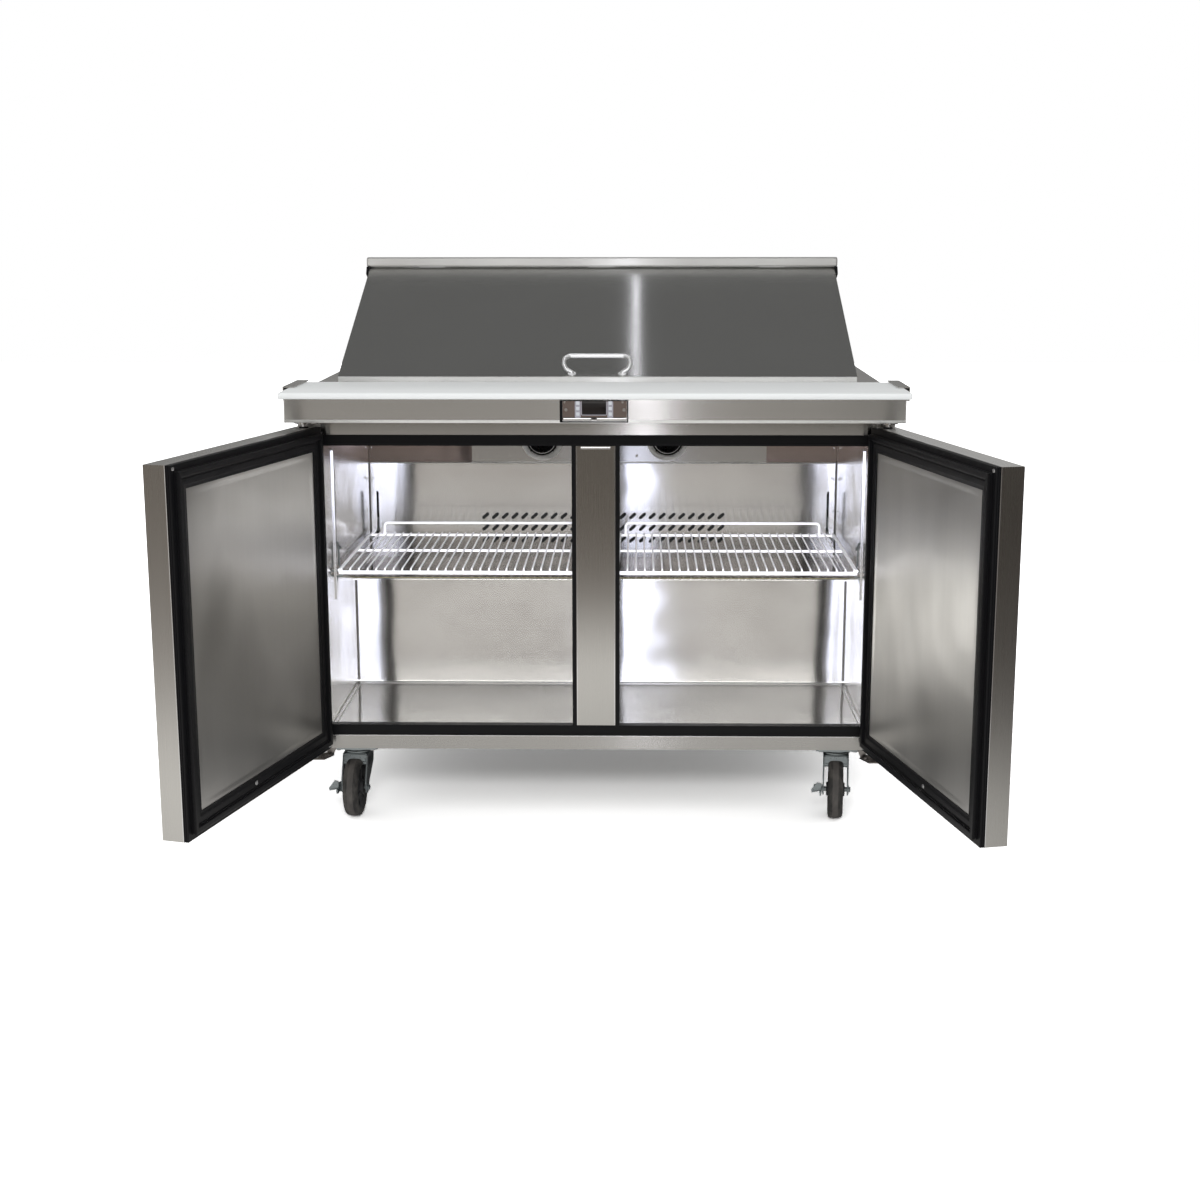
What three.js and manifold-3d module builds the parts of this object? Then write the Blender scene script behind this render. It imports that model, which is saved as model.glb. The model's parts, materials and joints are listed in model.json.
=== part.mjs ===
// Sandwich prep table: a two-door refrigerated cabinet on casters. A cutting board lies along its
// front, food pans sit behind it under a sloping hinged lid, and the condensing unit stands in a
// compartment behind the lower interior.
//
// Millimetres. +Z is up, +X is to the right of the person at the board, +Y is to the back.
// The origin is the centre of the cabinet's underside, the face the casters bolt to.

import * as THREE from 'three';
import { mergeVertices } from 'three/addons/utils/BufferGeometryUtils.js';
import Module from 'manifold-3d';

// Driving dimensions

const GAP = 0.3; // clearance left between neighbouring pieces
const SHEET = 1.2; // stainless sheet of the casing and the worktop
const LINER_SHEET = 1;

const BODY_HALF_WIDTH = 609;
const BODY_FRONT = -372;
const BODY_BACK = 372;
const HEADER_TOP = 705.3; // lower edge of the worktop's apron
const WALL = 40.4; // insulated wall between casing and liner

const OPENING_HALF_WIDTH = 568.6;
const OPENING_BOTTOM = 52.8;
const OPENING_TOP = 645.2;
const BREAKER_WIDTH = 22.3; // black strip around the door opening
const BREAKER_DEPTH = 20;
const MULLION_HALF_WIDTH = 40.4;
const MULLION_EDGE = 8.9; // black strip down each side of the mullion
const MULLION_DEPTH = 34;

const FLOOR_LEVEL = 30.7; // storage floor
const CEILING_LEVEL = 694;
const BACK_WALL = 304;
const HUMP_FRONT = 57; // the machine compartment stands behind this wall
const HUMP_TOP = 285.5;

const TOP_HALF_WIDTH = 612.5;
const TOP_FRONT = -492;
const DECK_LEVEL = 751.7;
const WELL_HALF_WIDTH = 484; // pan opening in the worktop
const WELL_FRONT = -224.5;
const WELL_BACK = 297;

const BOARD_HALF_WIDTH = 624;
const BOARD_FRONT = -495.5;
const BOARD_BACK = -245;
const BOARD_THICKNESS = 12.6;

const LID_HALF_WIDTH = 545.6;
const LID_FRONT = -242.8;
const LID_REAR = 257.6;
const LID_LIP_TOP = 774.8;
const LID_REAR_TOP = 989.6;
const LID_THICKNESS = 24;
const LID_PIVOT_Y = 262;
const LID_PIVOT_Z = 979;
const RAIL_HALF_WIDTH = 553;
const RAIL_TOP = 1013;
const HOOD_FRONT = 258.2;
const HOOD_TOP = 955;
const HOOD_WALL = 302; // front of the hood's rear wall, behind the pans
const HINGE_STATIONS = [-400, 0, 400];
const HINGE_HALF_WIDTH = 30;

const DOOR_PIVOT_X = 589.2;
const DOOR_PIVOT_Y = -411.6;
const DOOR_OPEN_LEFT = 104.9; // degrees from closed
const DOOR_OPEN_RIGHT = 102.9;
const DOOR_HINGE_SIDE = -20.2; // across the door, counted from its pivot
const DOOR_FREE_SIDE = 584.4;
const DOOR_BOTTOM = 8.9;
const DOOR_TOP = 686.6;
const DOOR_OUTER = -23.7;
const DOOR_INNER = 28.3;
const DOOR_SKIN_DEPTH = 42;
const GASKET_INSET = 12;
const GASKET_WIDTH = 34;
const GASKET_THICKNESS = 9.7;
const HINGE_PIN_RADIUS = 5;

const SHELF_LEVEL = 365;
const SHELF_FRONT = -245;
const SHELF_REAR = 208;
const SHELF_OUTER = 560;
const SHELF_INNER = 18;
const SHELF_MIDDLE = -5;
const REAR_PILASTER_X = 550;
const REAR_PILASTER_TOP = 502;
const WIRE_PITCH = 18.7;
const WIRE = 4;
const ROD = 6;

const CASTER_X = 512;
const CASTER_Y = 327;
const CASTER_TRAIL = 42;
const CASTER_HEIGHT = 147; // floor to the cabinet's underside
const WHEEL_RADIUS = 61;
const WHEEL_HALF_WIDTH = 16;
const WHEEL_SIDES = 24;
const AXLE_RADIUS = 5;
const AXLE_LEVEL = WHEEL_RADIUS - CASTER_HEIGHT;

const CONTROLLER_HALF_WIDTH = 67.5;
const BUTTON_COLUMN = 32; // centre of a key column from the controller's centre
const BUTTON_LEVEL = 734; // centre of the middle keys
const BUTTON_PITCH = 10.8;
const BUTTON_SIZE = 7.4;
const DISPLAY_HALF_WIDTH = 24.2;
const DISPLAY_BOTTOM = 721.5;

// Materials

function finish(color, roughness, metalness) {
  return new THREE.MeshStandardMaterial({ color, roughness, metalness });
}

const stainless = finish(0x9c9a96, 0.32, 1);
const darkStainless = finish(0x6f6f6e, 0.38, 1);
const polishedLiner = finish(0xc9c7c6, 0.14, 1);
const zinc = finish(0x8fa0a6, 0.3, 1);
const chrome = finish(0xd8d8da, 0.1, 1);
const blackPlastic = finish(0x141414, 0.45, 0);
const gasketRubber = finish(0x1a1a1b, 0.7, 0);
const boardPlastic = finish(0xe9ecec, 0.5, 0);
const wireCoating = finish(0xf1f1f3, 0.35, 0);
const foam = finish(0xd8c98f, 0.9, 0);
const wheelRubber = finish(0x2b2a29, 0.65, 0);
const keyPlastic = finish(0xa9adb5, 0.45, 0);
const machinePaint = finish(0x1f2123, 0.4, 0);

// Geometry helpers

const wasm = await Module();
wasm.setup();

function toSolid(geometry) {
  const bare = geometry.clone();
  bare.deleteAttribute('normal');
  bare.deleteAttribute('uv');
  const merged = mergeVertices(bare, 1e-4);
  return new wasm.Manifold(new wasm.Mesh({
    numProp: 3,
    vertProperties: merged.attributes.position.array,
    triVerts: new Uint32Array(merged.index.array),
  }));
}

function toGeometry(solid) {
  const mesh = solid.getMesh();
  const geometry = new THREE.BufferGeometry();
  geometry.setAttribute('position', new THREE.BufferAttribute(mesh.vertProperties, 3));
  geometry.setIndex(new THREE.BufferAttribute(mesh.triVerts, 1));
  geometry.computeVertexNormals();
  return geometry;
}

function join(...geometries) {
  return toGeometry(geometries.map(toSolid).reduce((whole, next) => whole.add(next)));
}

function cut(geometry, ...cutters) {
  return toGeometry(cutters.map(toSolid).reduce((whole, next) => whole.subtract(next), toSolid(geometry)));
}

function box(x0, x1, y0, y1, z0, z1) {
  const geometry = new THREE.BoxGeometry(Math.abs(x1 - x0), Math.abs(y1 - y0), Math.abs(z1 - z0));
  geometry.translate((x0 + x1) / 2, (y0 + y1) / 2, (z0 + z1) / 2);
  return geometry;
}

function extrude(points, depth) {
  const shape = new THREE.Shape(points.map(([a, b]) => new THREE.Vector2(a, b)));
  return new THREE.ExtrudeGeometry(shape, { depth, bevelEnabled: false });
}

// A profile of [y, z] points, run along X.
function alongX(points, x0, x1) {
  const geometry = extrude(points, x1 - x0);
  const axes = new THREE.Matrix4().makeBasis(
    new THREE.Vector3(0, 1, 0),
    new THREE.Vector3(0, 0, 1),
    new THREE.Vector3(1, 0, 0),
  );
  geometry.applyMatrix4(axes);
  geometry.translate(x0, 0, 0);
  return geometry;
}

// A profile of [x, z] points, run along Y.
function alongY(points, y0, y1) {
  const geometry = extrude(points, y1 - y0);
  geometry.rotateX(Math.PI / 2);
  geometry.translate(0, y1, 0);
  return geometry;
}

// A profile of [x, y] points, run along Z.
function alongZ(points, z0, z1) {
  const geometry = extrude(points, z1 - z0);
  geometry.translate(0, 0, z0);
  return geometry;
}

function rod(from, to, radius, sides = 12) {
  const start = new THREE.Vector3(...from);
  const end = new THREE.Vector3(...to);
  const direction = end.clone().sub(start);
  const geometry = new THREE.CylinderGeometry(radius, radius, direction.length(), sides);
  const turn = new THREE.Quaternion().setFromUnitVectors(
    new THREE.Vector3(0, 1, 0),
    direction.normalize(),
  );
  geometry.applyQuaternion(turn);
  geometry.translate((from[0] + to[0]) / 2, (from[1] + to[1]) / 2, (from[2] + to[2]) / 2);
  return geometry;
}

// A round bar bent along a row of points, with each corner rounded.
function bentRod(points, radius, bend, sides, steps) {
  const corners = points.map((point) => new THREE.Vector3(...point));
  const path = new THREE.CurvePath();
  let from = corners[0];
  for (let i = 1; i < corners.length - 1; i += 1) {
    const back = corners[i - 1].clone().sub(corners[i]).setLength(bend);
    const ahead = corners[i + 1].clone().sub(corners[i]).setLength(bend);
    const bendStart = corners[i].clone().add(back);
    const bendEnd = corners[i].clone().add(ahead);
    path.add(new THREE.LineCurve3(from, bendStart));
    path.add(new THREE.QuadraticBezierCurve3(bendStart, corners[i], bendEnd));
    from = bendEnd;
  }
  path.add(new THREE.LineCurve3(from, corners[corners.length - 1]));
  const section = new THREE.Shape();
  section.absarc(0, 0, radius, 0, Math.PI * 2);
  return new THREE.ExtrudeGeometry(section, {
    steps,
    extrudePath: path,
    curveSegments: sides,
    bevelEnabled: false,
  });
}

// A ring or disc turned about the X axis from [x, radius] points.
function turnedAboutX(profile, sides) {
  const geometry = new THREE.LatheGeometry(
    profile.map(([x, radius]) => new THREE.Vector2(radius, x)),
    sides,
  );
  geometry.rotateY(Math.PI / sides);
  geometry.rotateZ(-Math.PI / 2);
  return geometry;
}

function turnedAboutZ(profile, sides) {
  const geometry = new THREE.LatheGeometry(
    profile.map(([radius, z]) => new THREE.Vector2(radius, z)),
    sides,
  );
  geometry.rotateX(Math.PI / 2);
  return geometry;
}

function turnedAboutY(profile, sides) {
  return new THREE.LatheGeometry(profile.map(([radius, y]) => new THREE.Vector2(radius, y)), sides);
}

function named(name, geometry, material) {
  const mesh = new THREE.Mesh(geometry, material);
  mesh.name = name;
  return mesh;
}

function radians(degrees) {
  return THREE.MathUtils.degToRad(degrees);
}

// Cabinet

const COMPARTMENT_FRONT = HUMP_FRONT + WALL;
const COMPARTMENT_TOP = HUMP_TOP - WALL;
const BREAKER_HALF_WIDTH = OPENING_HALF_WIDTH + BREAKER_WIDTH;
const BREAKER_BOTTOM = OPENING_BOTTOM - BREAKER_WIDTH;
const BREAKER_TOP = OPENING_TOP + BREAKER_WIDTH;
const CASING_TOP = DECK_LEVEL - SHEET - GAP;
const LINER_FRONT = BODY_FRONT + BREAKER_DEPTH + GAP;
const CASTER_SEAT_HALF = 49; // the underside is pressed up a little over each caster's plate
const CASTER_SEAT_RISE = 0.4;
const GRILLE_HALF_WIDTH = 520;
const GRILLE_BOTTOM = 24;
const GRILLE_TOP = 236;

function outerCasing() {
  const skin = box(-BODY_HALF_WIDTH, BODY_HALF_WIDTH, BODY_FRONT, BODY_BACK, 0, CASING_TOP);
  const inside = box(
    -BODY_HALF_WIDTH + SHEET, BODY_HALF_WIDTH - SHEET,
    BODY_FRONT + SHEET, BODY_BACK - SHEET,
    SHEET, CASING_TOP + 1,
  );
  const doorway = box(
    -BREAKER_HALF_WIDTH - GAP, BREAKER_HALF_WIDTH + GAP,
    BODY_FRONT - 1, BODY_FRONT + SHEET + 1,
    BREAKER_BOTTOM - GAP, BREAKER_TOP + GAP,
  );
  const machineAccess = box(
    -GRILLE_HALF_WIDTH + 12, GRILLE_HALF_WIDTH - 12,
    BODY_BACK - SHEET - 1, BODY_BACK + 1,
    GRILLE_BOTTOM + 12, GRILLE_TOP - 12,
  );
  const casterSeats = [[-1, -1], [1, -1], [-1, 1], [1, 1]].map(([sx, sy]) => box(
    sx * (CASTER_X - CASTER_SEAT_HALF), sx * (BODY_HALF_WIDTH + 1),
    sy * (CASTER_Y - CASTER_SEAT_HALF), sy * (BODY_BACK + 1),
    -1, CASTER_SEAT_RISE,
  ));
  return named('outer_casing', cut(skin, inside, doorway, machineAccess, ...casterSeats), stainless);
}

// Outline of the interior in [y, z], grown outwards by an offset.
function interiorOutline(front, grow) {
  return [
    [front, FLOOR_LEVEL - grow],
    [HUMP_FRONT + grow, FLOOR_LEVEL - grow],
    [HUMP_FRONT + grow, HUMP_TOP - grow],
    [BACK_WALL + grow, HUMP_TOP - grow],
    [BACK_WALL + grow, CEILING_LEVEL + grow],
    [front, CEILING_LEVEL + grow],
  ];
}

function panWell(grow, z0, z1) {
  return box(
    -WELL_HALF_WIDTH - grow, WELL_HALF_WIDTH + grow,
    WELL_FRONT - grow, WELL_BACK + grow,
    z0, z1,
  );
}

function innerLiner() {
  const shell = alongX(
    interiorOutline(LINER_FRONT, LINER_SHEET),
    -OPENING_HALF_WIDTH - LINER_SHEET,
    OPENING_HALF_WIDTH + LINER_SHEET,
  );
  const hollow = alongX(interiorOutline(LINER_FRONT - 1, 0), -OPENING_HALF_WIDTH, OPENING_HALF_WIDTH);
  const well = panWell(0, CEILING_LEVEL - 1, CEILING_LEVEL + LINER_SHEET + 1);
  return named('inner_liner', cut(shell, hollow, well), polishedLiner);
}

function insulationFoam() {
  const clearance = SHEET + GAP;
  const block = box(
    -BODY_HALF_WIDTH + clearance, BODY_HALF_WIDTH - clearance,
    BODY_FRONT + clearance, BODY_BACK - clearance,
    clearance, CASING_TOP - GAP,
  );
  const storage = alongX(
    interiorOutline(BODY_FRONT - 1, LINER_SHEET + GAP),
    -OPENING_HALF_WIDTH - LINER_SHEET - GAP,
    OPENING_HALF_WIDTH + LINER_SHEET + GAP,
  );
  const breakerSeat = box(
    -BREAKER_HALF_WIDTH - GAP, BREAKER_HALF_WIDTH + GAP,
    BODY_FRONT - 1, LINER_FRONT,
    BREAKER_BOTTOM - GAP, BREAKER_TOP + GAP,
  );
  const compartment = box(
    -BODY_HALF_WIDTH, BODY_HALF_WIDTH,
    COMPARTMENT_FRONT, BODY_BACK + 1,
    -1, COMPARTMENT_TOP,
  );
  const well = panWell(GAP, CEILING_LEVEL - 1, DECK_LEVEL);
  return named('insulation_foam', cut(block, storage, breakerSeat, compartment, well), foam);
}

function breakerFrame() {
  const back = BODY_FRONT + BREAKER_DEPTH;
  const frame = box(-BREAKER_HALF_WIDTH, BREAKER_HALF_WIDTH, BODY_FRONT, back, BREAKER_BOTTOM, BREAKER_TOP);
  const left = box(
    -OPENING_HALF_WIDTH, -MULLION_HALF_WIDTH - MULLION_EDGE,
    BODY_FRONT - 1, back + 1, OPENING_BOTTOM, OPENING_TOP,
  );
  const right = left.clone().translate(OPENING_HALF_WIDTH + MULLION_HALF_WIDTH + MULLION_EDGE, 0, 0);
  const post = box(
    -MULLION_HALF_WIDTH - GAP, MULLION_HALF_WIDTH + GAP,
    BODY_FRONT - 1, BODY_FRONT + MULLION_DEPTH, OPENING_BOTTOM, OPENING_TOP,
  );
  const slot = box(
    -MULLION_HALF_WIDTH - GAP, MULLION_HALF_WIDTH + GAP,
    BODY_FRONT - 1, back + 1, OPENING_BOTTOM, OPENING_TOP,
  );
  return named('breaker_frame', cut(frame, left, right, post, slot), blackPlastic);
}

function centreMullion() {
  const post = box(
    -MULLION_HALF_WIDTH, MULLION_HALF_WIDTH,
    BODY_FRONT, BODY_FRONT + MULLION_DEPTH,
    OPENING_BOTTOM + GAP, OPENING_TOP - GAP,
  );
  return named('centre_mullion', post, stainless);
}

// Worktop, pans and rear hood

function worktopDeck() {
  const shell = box(-TOP_HALF_WIDTH, TOP_HALF_WIDTH, TOP_FRONT, BODY_BACK + 3.5, HEADER_TOP, DECK_LEVEL);
  const inside = box(
    -TOP_HALF_WIDTH + SHEET, TOP_HALF_WIDTH - SHEET,
    TOP_FRONT + SHEET, BODY_BACK + 3.5 - SHEET,
    HEADER_TOP - 1, DECK_LEVEL - SHEET,
  );
  const hem = alongX(
    [
      [TOP_FRONT + 0.6, HEADER_TOP],
      [TOP_FRONT + 14, HEADER_TOP],
      [TOP_FRONT + 14, HEADER_TOP + SHEET],
      [TOP_FRONT + 0.6, HEADER_TOP + SHEET],
    ],
    -TOP_HALF_WIDTH + 0.6,
    TOP_HALF_WIDTH - 0.6,
  );
  const controllerSeat = box(
    -CONTROLLER_HALF_WIDTH + 6, CONTROLLER_HALF_WIDTH - 6,
    TOP_FRONT - 1, TOP_FRONT + 5, HEADER_TOP + 6, DECK_LEVEL - SHEET - GAP,
  );
  const well = panWell(0, DECK_LEVEL - SHEET - 1, DECK_LEVEL + 1);
  return named('worktop_deck', cut(join(cut(shell, inside), hem), controllerSeat, well), stainless);
}

// Nine third-size pans in a three by three grid, their rims meeting at the divider bars.
const PAN_COLUMNS = 3;
const PAN_ROWS = 3;
const PAN_WIDTH = 325;
const PAN_LENGTH = 176;
const PAN_DEPTH = 100;
const PAN_SHEET = 1;
const PAN_RIM = 9;

function foodPans() {
  const spanX = PAN_COLUMNS * PAN_WIDTH;
  const spanY = PAN_ROWS * PAN_LENGTH;
  const centreY = (WELL_FRONT + WELL_BACK) / 2;
  const rimLevel = DECK_LEVEL + GAP;
  let pans = box(
    -spanX / 2, spanX / 2,
    centreY - spanY / 2, centreY + spanY / 2,
    rimLevel, rimLevel + PAN_SHEET,
  );
  const tubs = [];
  const hollows = [];
  for (let column = 0; column < PAN_COLUMNS; column += 1) {
    for (let row = 0; row < PAN_ROWS; row += 1) {
      const x = (column - 1) * PAN_WIDTH;
      const y = centreY + (row - 1) * PAN_LENGTH;
      const halfX = PAN_WIDTH / 2 - PAN_RIM;
      const halfY = PAN_LENGTH / 2 - PAN_RIM;
      const floor = rimLevel - PAN_DEPTH;
      tubs.push(box(x - halfX, x + halfX, y - halfY, y + halfY, floor, rimLevel + PAN_SHEET));
      hollows.push(box(
        x - halfX + PAN_SHEET, x + halfX - PAN_SHEET,
        y - halfY + PAN_SHEET, y + halfY - PAN_SHEET,
        floor + PAN_SHEET, rimLevel + PAN_SHEET + 1,
      ));
    }
  }
  pans = join(pans, ...tubs);
  return named('food_pans', cut(pans, ...hollows), polishedLiner);
}

function rearHood() {
  const base = DECK_LEVEL + GAP;
  const halfWidth = LID_HALF_WIDTH - 0.6;
  const shoulder = HOOD_TOP - 28;
  const outline = [
    [HOOD_WALL, base],
    [BODY_BACK, base],
    [BODY_BACK, HOOD_TOP],
    [HOOD_FRONT, HOOD_TOP],
    [HOOD_FRONT, shoulder],
    [HOOD_WALL, shoulder],
  ];
  const hollowOutline = [
    [HOOD_WALL + SHEET, base - 1],
    [BODY_BACK - SHEET, base - 1],
    [BODY_BACK - SHEET, HOOD_TOP - SHEET],
    [HOOD_FRONT + SHEET, HOOD_TOP - SHEET],
    [HOOD_FRONT + SHEET, shoulder + SHEET],
    [HOOD_WALL + SHEET, shoulder + SHEET],
  ];
  const back = alongX(outline, -halfWidth, halfWidth);
  const hollow = alongX(hollowOutline, -halfWidth + SHEET, halfWidth - SHEET);
  const cheekOutline = [
    [LID_FRONT + 20, base],
    [HOOD_WALL + 0.6, base],
    [HOOD_WALL + 0.6, shoulder + 0.6],
    [HOOD_FRONT + 0.6, HOOD_TOP - 2],
    [LID_REAR - 12, HOOD_TOP - 2],
    [LID_FRONT + 20, base + 4],
  ];
  const leftCheek = alongX(cheekOutline, -halfWidth, -halfWidth + 22);
  const rightCheek = alongX(cheekOutline, halfWidth - 22, halfWidth);
  const knuckles = HINGE_STATIONS.flatMap((x) => [
    box(x - HINGE_HALF_WIDTH, x + HINGE_HALF_WIDTH, HOOD_FRONT, HOOD_FRONT + 7, HOOD_TOP - 4, LID_PIVOT_Z),
    rod([x - HINGE_HALF_WIDTH, LID_PIVOT_Y, LID_PIVOT_Z], [x + HINGE_HALF_WIDTH, LID_PIVOT_Y, LID_PIVOT_Z], 4.2),
  ]);
  const hood = join(cut(back, hollow), leftCheek, rightCheek, ...knuckles);
  return named('rear_hood', hood, stainless);
}

function cuttingBoard() {
  const bottom = DECK_LEVEL + GAP;
  const top = bottom + BOARD_THICKNESS - GAP;
  const corner = 6;
  const edge = 1.6;
  const outline = [
    [-BOARD_HALF_WIDTH + corner, BOARD_FRONT],
    [BOARD_HALF_WIDTH - corner, BOARD_FRONT],
    [BOARD_HALF_WIDTH, BOARD_FRONT + corner],
    [BOARD_HALF_WIDTH, BOARD_BACK],
    [-BOARD_HALF_WIDTH, BOARD_BACK],
    [-BOARD_HALF_WIDTH, BOARD_FRONT + corner],
  ];
  const slab = alongZ(outline, bottom, top);
  const softEdge = alongX(
    [
      [BOARD_FRONT - 1, top - edge - 1],
      [BOARD_FRONT + edge + 1, top + 1],
      [BOARD_FRONT - 1, top + 1],
    ],
    -BOARD_HALF_WIDTH - 1,
    BOARD_HALF_WIDTH + 1,
  );
  const clipSeats = [-1, 1].map((side) => box(
    side * (BOARD_HALF_WIDTH - 14), side * (BOARD_HALF_WIDTH + 1),
    BOARD_BACK - 141, BOARD_BACK + 1,
    top - 0.4, top + 1,
  ));
  return named('cutting_board', cut(slab, softEdge, ...clipSeats), boardPlastic);
}

// A bent strip that hooks over the end of the board and against the side of the worktop.
function boardClip(name, side) {
  const top = DECK_LEVEL + BOARD_THICKNESS + GAP;
  const bottom = top - 26;
  const thickness = 2;
  const outside = BOARD_HALF_WIDTH + 11;
  const profile = [
    [BOARD_HALF_WIDTH - 13, top],
    [outside - thickness, top],
    [outside - thickness, bottom + thickness],
    [TOP_HALF_WIDTH + GAP, bottom + thickness],
    [TOP_HALF_WIDTH + GAP, bottom],
    [outside, bottom],
    [outside, top + thickness],
    [BOARD_HALF_WIDTH - 13, top + thickness],
  ];
  const points = side < 0 ? profile.map(([x, z]) => [-x, z]).reverse() : profile;
  return named(name, alongY(points, BOARD_BACK - 140, BOARD_BACK + 20), stainless);
}

// Lid

const LID_SLOPE = Math.atan2(LID_REAR_TOP - LID_LIP_TOP, LID_REAR - LID_FRONT);

// Level of the lid's upper face at a depth, lowered square to the slope by an offset.
function lidLevel(y, offset) {
  return LID_LIP_TOP + (y - LID_FRONT) * Math.tan(LID_SLOPE) - offset / Math.cos(LID_SLOPE);
}

function lidSkin() {
  const lipBottom = DECK_LEVEL + 1.3;
  const fold = SHEET / Math.cos(LID_SLOPE);
  const outside = alongX(
    [
      [LID_FRONT, lipBottom],
      [LID_REAR, lidLevel(LID_REAR, LID_THICKNESS)],
      [LID_REAR, LID_REAR_TOP],
      [LID_FRONT, LID_LIP_TOP],
    ],
    -LID_HALF_WIDTH,
    LID_HALF_WIDTH,
  );
  const inside = alongX(
    [
      [LID_FRONT + SHEET, lipBottom - 30],
      [LID_REAR - SHEET, lidLevel(LID_REAR, LID_THICKNESS) - 30],
      [LID_REAR - SHEET, LID_REAR_TOP - fold - 0.5],
      [LID_FRONT + SHEET, LID_LIP_TOP - fold + 0.5],
    ],
    -LID_HALF_WIDTH + SHEET,
    LID_HALF_WIDTH - SHEET,
  );
  return named('lid_skin', cut(outside, inside), darkStainless);
}

function lidLiner() {
  const inset = SHEET + GAP;
  const front = LID_FRONT + inset;
  const rear = LID_REAR - inset;
  const slab = alongX(
    [
      [front, DECK_LEVEL + 1.3 + 0.6],
      [rear, lidLevel(rear, LID_THICKNESS - 0.6)],
      [rear, lidLevel(rear, inset + 0.4)],
      [front, lidLevel(front, inset + 0.4)],
    ],
    -LID_HALF_WIDTH + inset,
    LID_HALF_WIDTH - inset,
  );
  return named('lid_liner', slab, stainless);
}

function lidTopRail() {
  const front = LID_REAR - 8.6;
  const rear = LID_REAR + 10.4;
  const seat = LID_REAR_TOP + 0.8;
  const profile = [
    [front, seat],
    [LID_REAR + 0.6, seat],
    [LID_REAR + 0.6, LID_PIVOT_Z - 7],
    [rear, LID_PIVOT_Z - 7],
    [rear, RAIL_TOP - 3],
    [rear - 3, RAIL_TOP],
    [front + 3, RAIL_TOP],
    [front, RAIL_TOP - 3],
  ];
  const rail = alongX(profile, -RAIL_HALF_WIDTH, RAIL_HALF_WIDTH);
  const notches = HINGE_STATIONS.map((x) => box(
    x - HINGE_HALF_WIDTH - 1, x + HINGE_HALF_WIDTH + 1,
    LID_REAR, rear + 1, LID_PIVOT_Z - 8, LID_PIVOT_Z + 8,
  ));
  const endCap = [
    [LID_REAR - 13, LID_PIVOT_Z - 19],
    [rear, LID_PIVOT_Z - 19],
    [rear, seat + 1],
    [LID_REAR - 13, seat + 1],
  ];
  const leftCap = alongX(endCap, -RAIL_HALF_WIDTH, -LID_HALF_WIDTH - GAP);
  const rightCap = alongX(endCap, LID_HALF_WIDTH + GAP, RAIL_HALF_WIDTH);
  return named('lid_top_rail', join(cut(rail, ...notches), leftCap, rightCap), chrome);
}

// A bail of round bar: its feet stand near the lid's lip, its sides bulge out and its grip
// stands clear of the lid. Points are [across, up the slope, square to the slope].
function lidHandle() {
  const footHalfWidth = 54;
  const bulgeHalfWidth = 66;
  const gripHalfWidth = 64;
  const radius = 4;
  const reach = 30;
  const rise = 24;
  const footUp = 13;
  const half = [
    [footHalfWidth, 0, GAP],
    [footHalfWidth, 0, 9],
    [bulgeHalfWidth, rise * 0.4, reach * 0.66],
    [gripHalfWidth, rise, reach],
  ];
  const mirrored = half.map(([x, y, z]) => [-x, y, z]);
  const handle = bentRod([...mirrored, ...half.reverse()], radius, 6, 2, 40);
  const footY = LID_FRONT + footUp * Math.cos(LID_SLOPE);
  handle.rotateX(LID_SLOPE);
  handle.translate(0, footY, lidLevel(footY, 0));
  return named('lid_handle', handle, chrome);
}

// Doors, built closed about their hinge axis. side is -1 for the left door and 1 for the right one.

function doorBox(side, across0, across1, y0, y1, z0, z1) {
  return box(-side * across0, -side * across1, y0, y1, z0, z1);
}

function pinBore(radius, z0, z1) {
  return rod([0, 0, z0], [0, 0, z1], radius);
}

function doorSkin(name, side) {
  const outside = doorBox(
    side, DOOR_HINGE_SIDE, DOOR_FREE_SIDE, DOOR_OUTER, DOOR_OUTER + DOOR_SKIN_DEPTH, DOOR_BOTTOM, DOOR_TOP,
  );
  const inside = doorBox(
    side, DOOR_HINGE_SIDE + SHEET, DOOR_FREE_SIDE - SHEET,
    DOOR_OUTER + SHEET, DOOR_OUTER + DOOR_SKIN_DEPTH + 1,
    DOOR_BOTTOM + SHEET, DOOR_TOP - SHEET,
  );
  const bore = pinBore(HINGE_PIN_RADIUS + 1, DOOR_BOTTOM - 1, DOOR_TOP + 1);
  return named(name, cut(outside, inside, bore), stainless);
}

function doorCore(name, side) {
  const inset = SHEET + GAP;
  const filling = doorBox(
    side, DOOR_HINGE_SIDE + inset, DOOR_FREE_SIDE - inset,
    DOOR_OUTER + inset, DOOR_INNER - 2,
    DOOR_BOTTOM + inset, DOOR_TOP - inset,
  );
  const frame = doorBox(
    side, DOOR_HINGE_SIDE, DOOR_FREE_SIDE,
    DOOR_OUTER + DOOR_SKIN_DEPTH + GAP, DOOR_INNER,
    DOOR_BOTTOM, DOOR_TOP,
  );
  const upperBore = pinBore(HINGE_PIN_RADIUS + 1, DOOR_TOP - 40, DOOR_TOP + 1);
  const lowerBore = pinBore(HINGE_PIN_RADIUS + 1, DOOR_BOTTOM - 1, DOOR_BOTTOM + 40);
  return named(name, cut(join(filling, frame), upperBore, lowerBore), blackPlastic);
}

function doorRing(side, outerInset, innerInset, y0, y1) {
  const ring = doorBox(
    side, DOOR_HINGE_SIDE + outerInset, DOOR_FREE_SIDE - outerInset,
    y0, y1, DOOR_BOTTOM + outerInset, DOOR_TOP - outerInset,
  );
  const window = doorBox(
    side, DOOR_HINGE_SIDE + innerInset, DOOR_FREE_SIDE - innerInset,
    y0 - 1, y1 + 1, DOOR_BOTTOM + innerInset, DOOR_TOP - innerInset,
  );
  return cut(ring, window);
}

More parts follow.
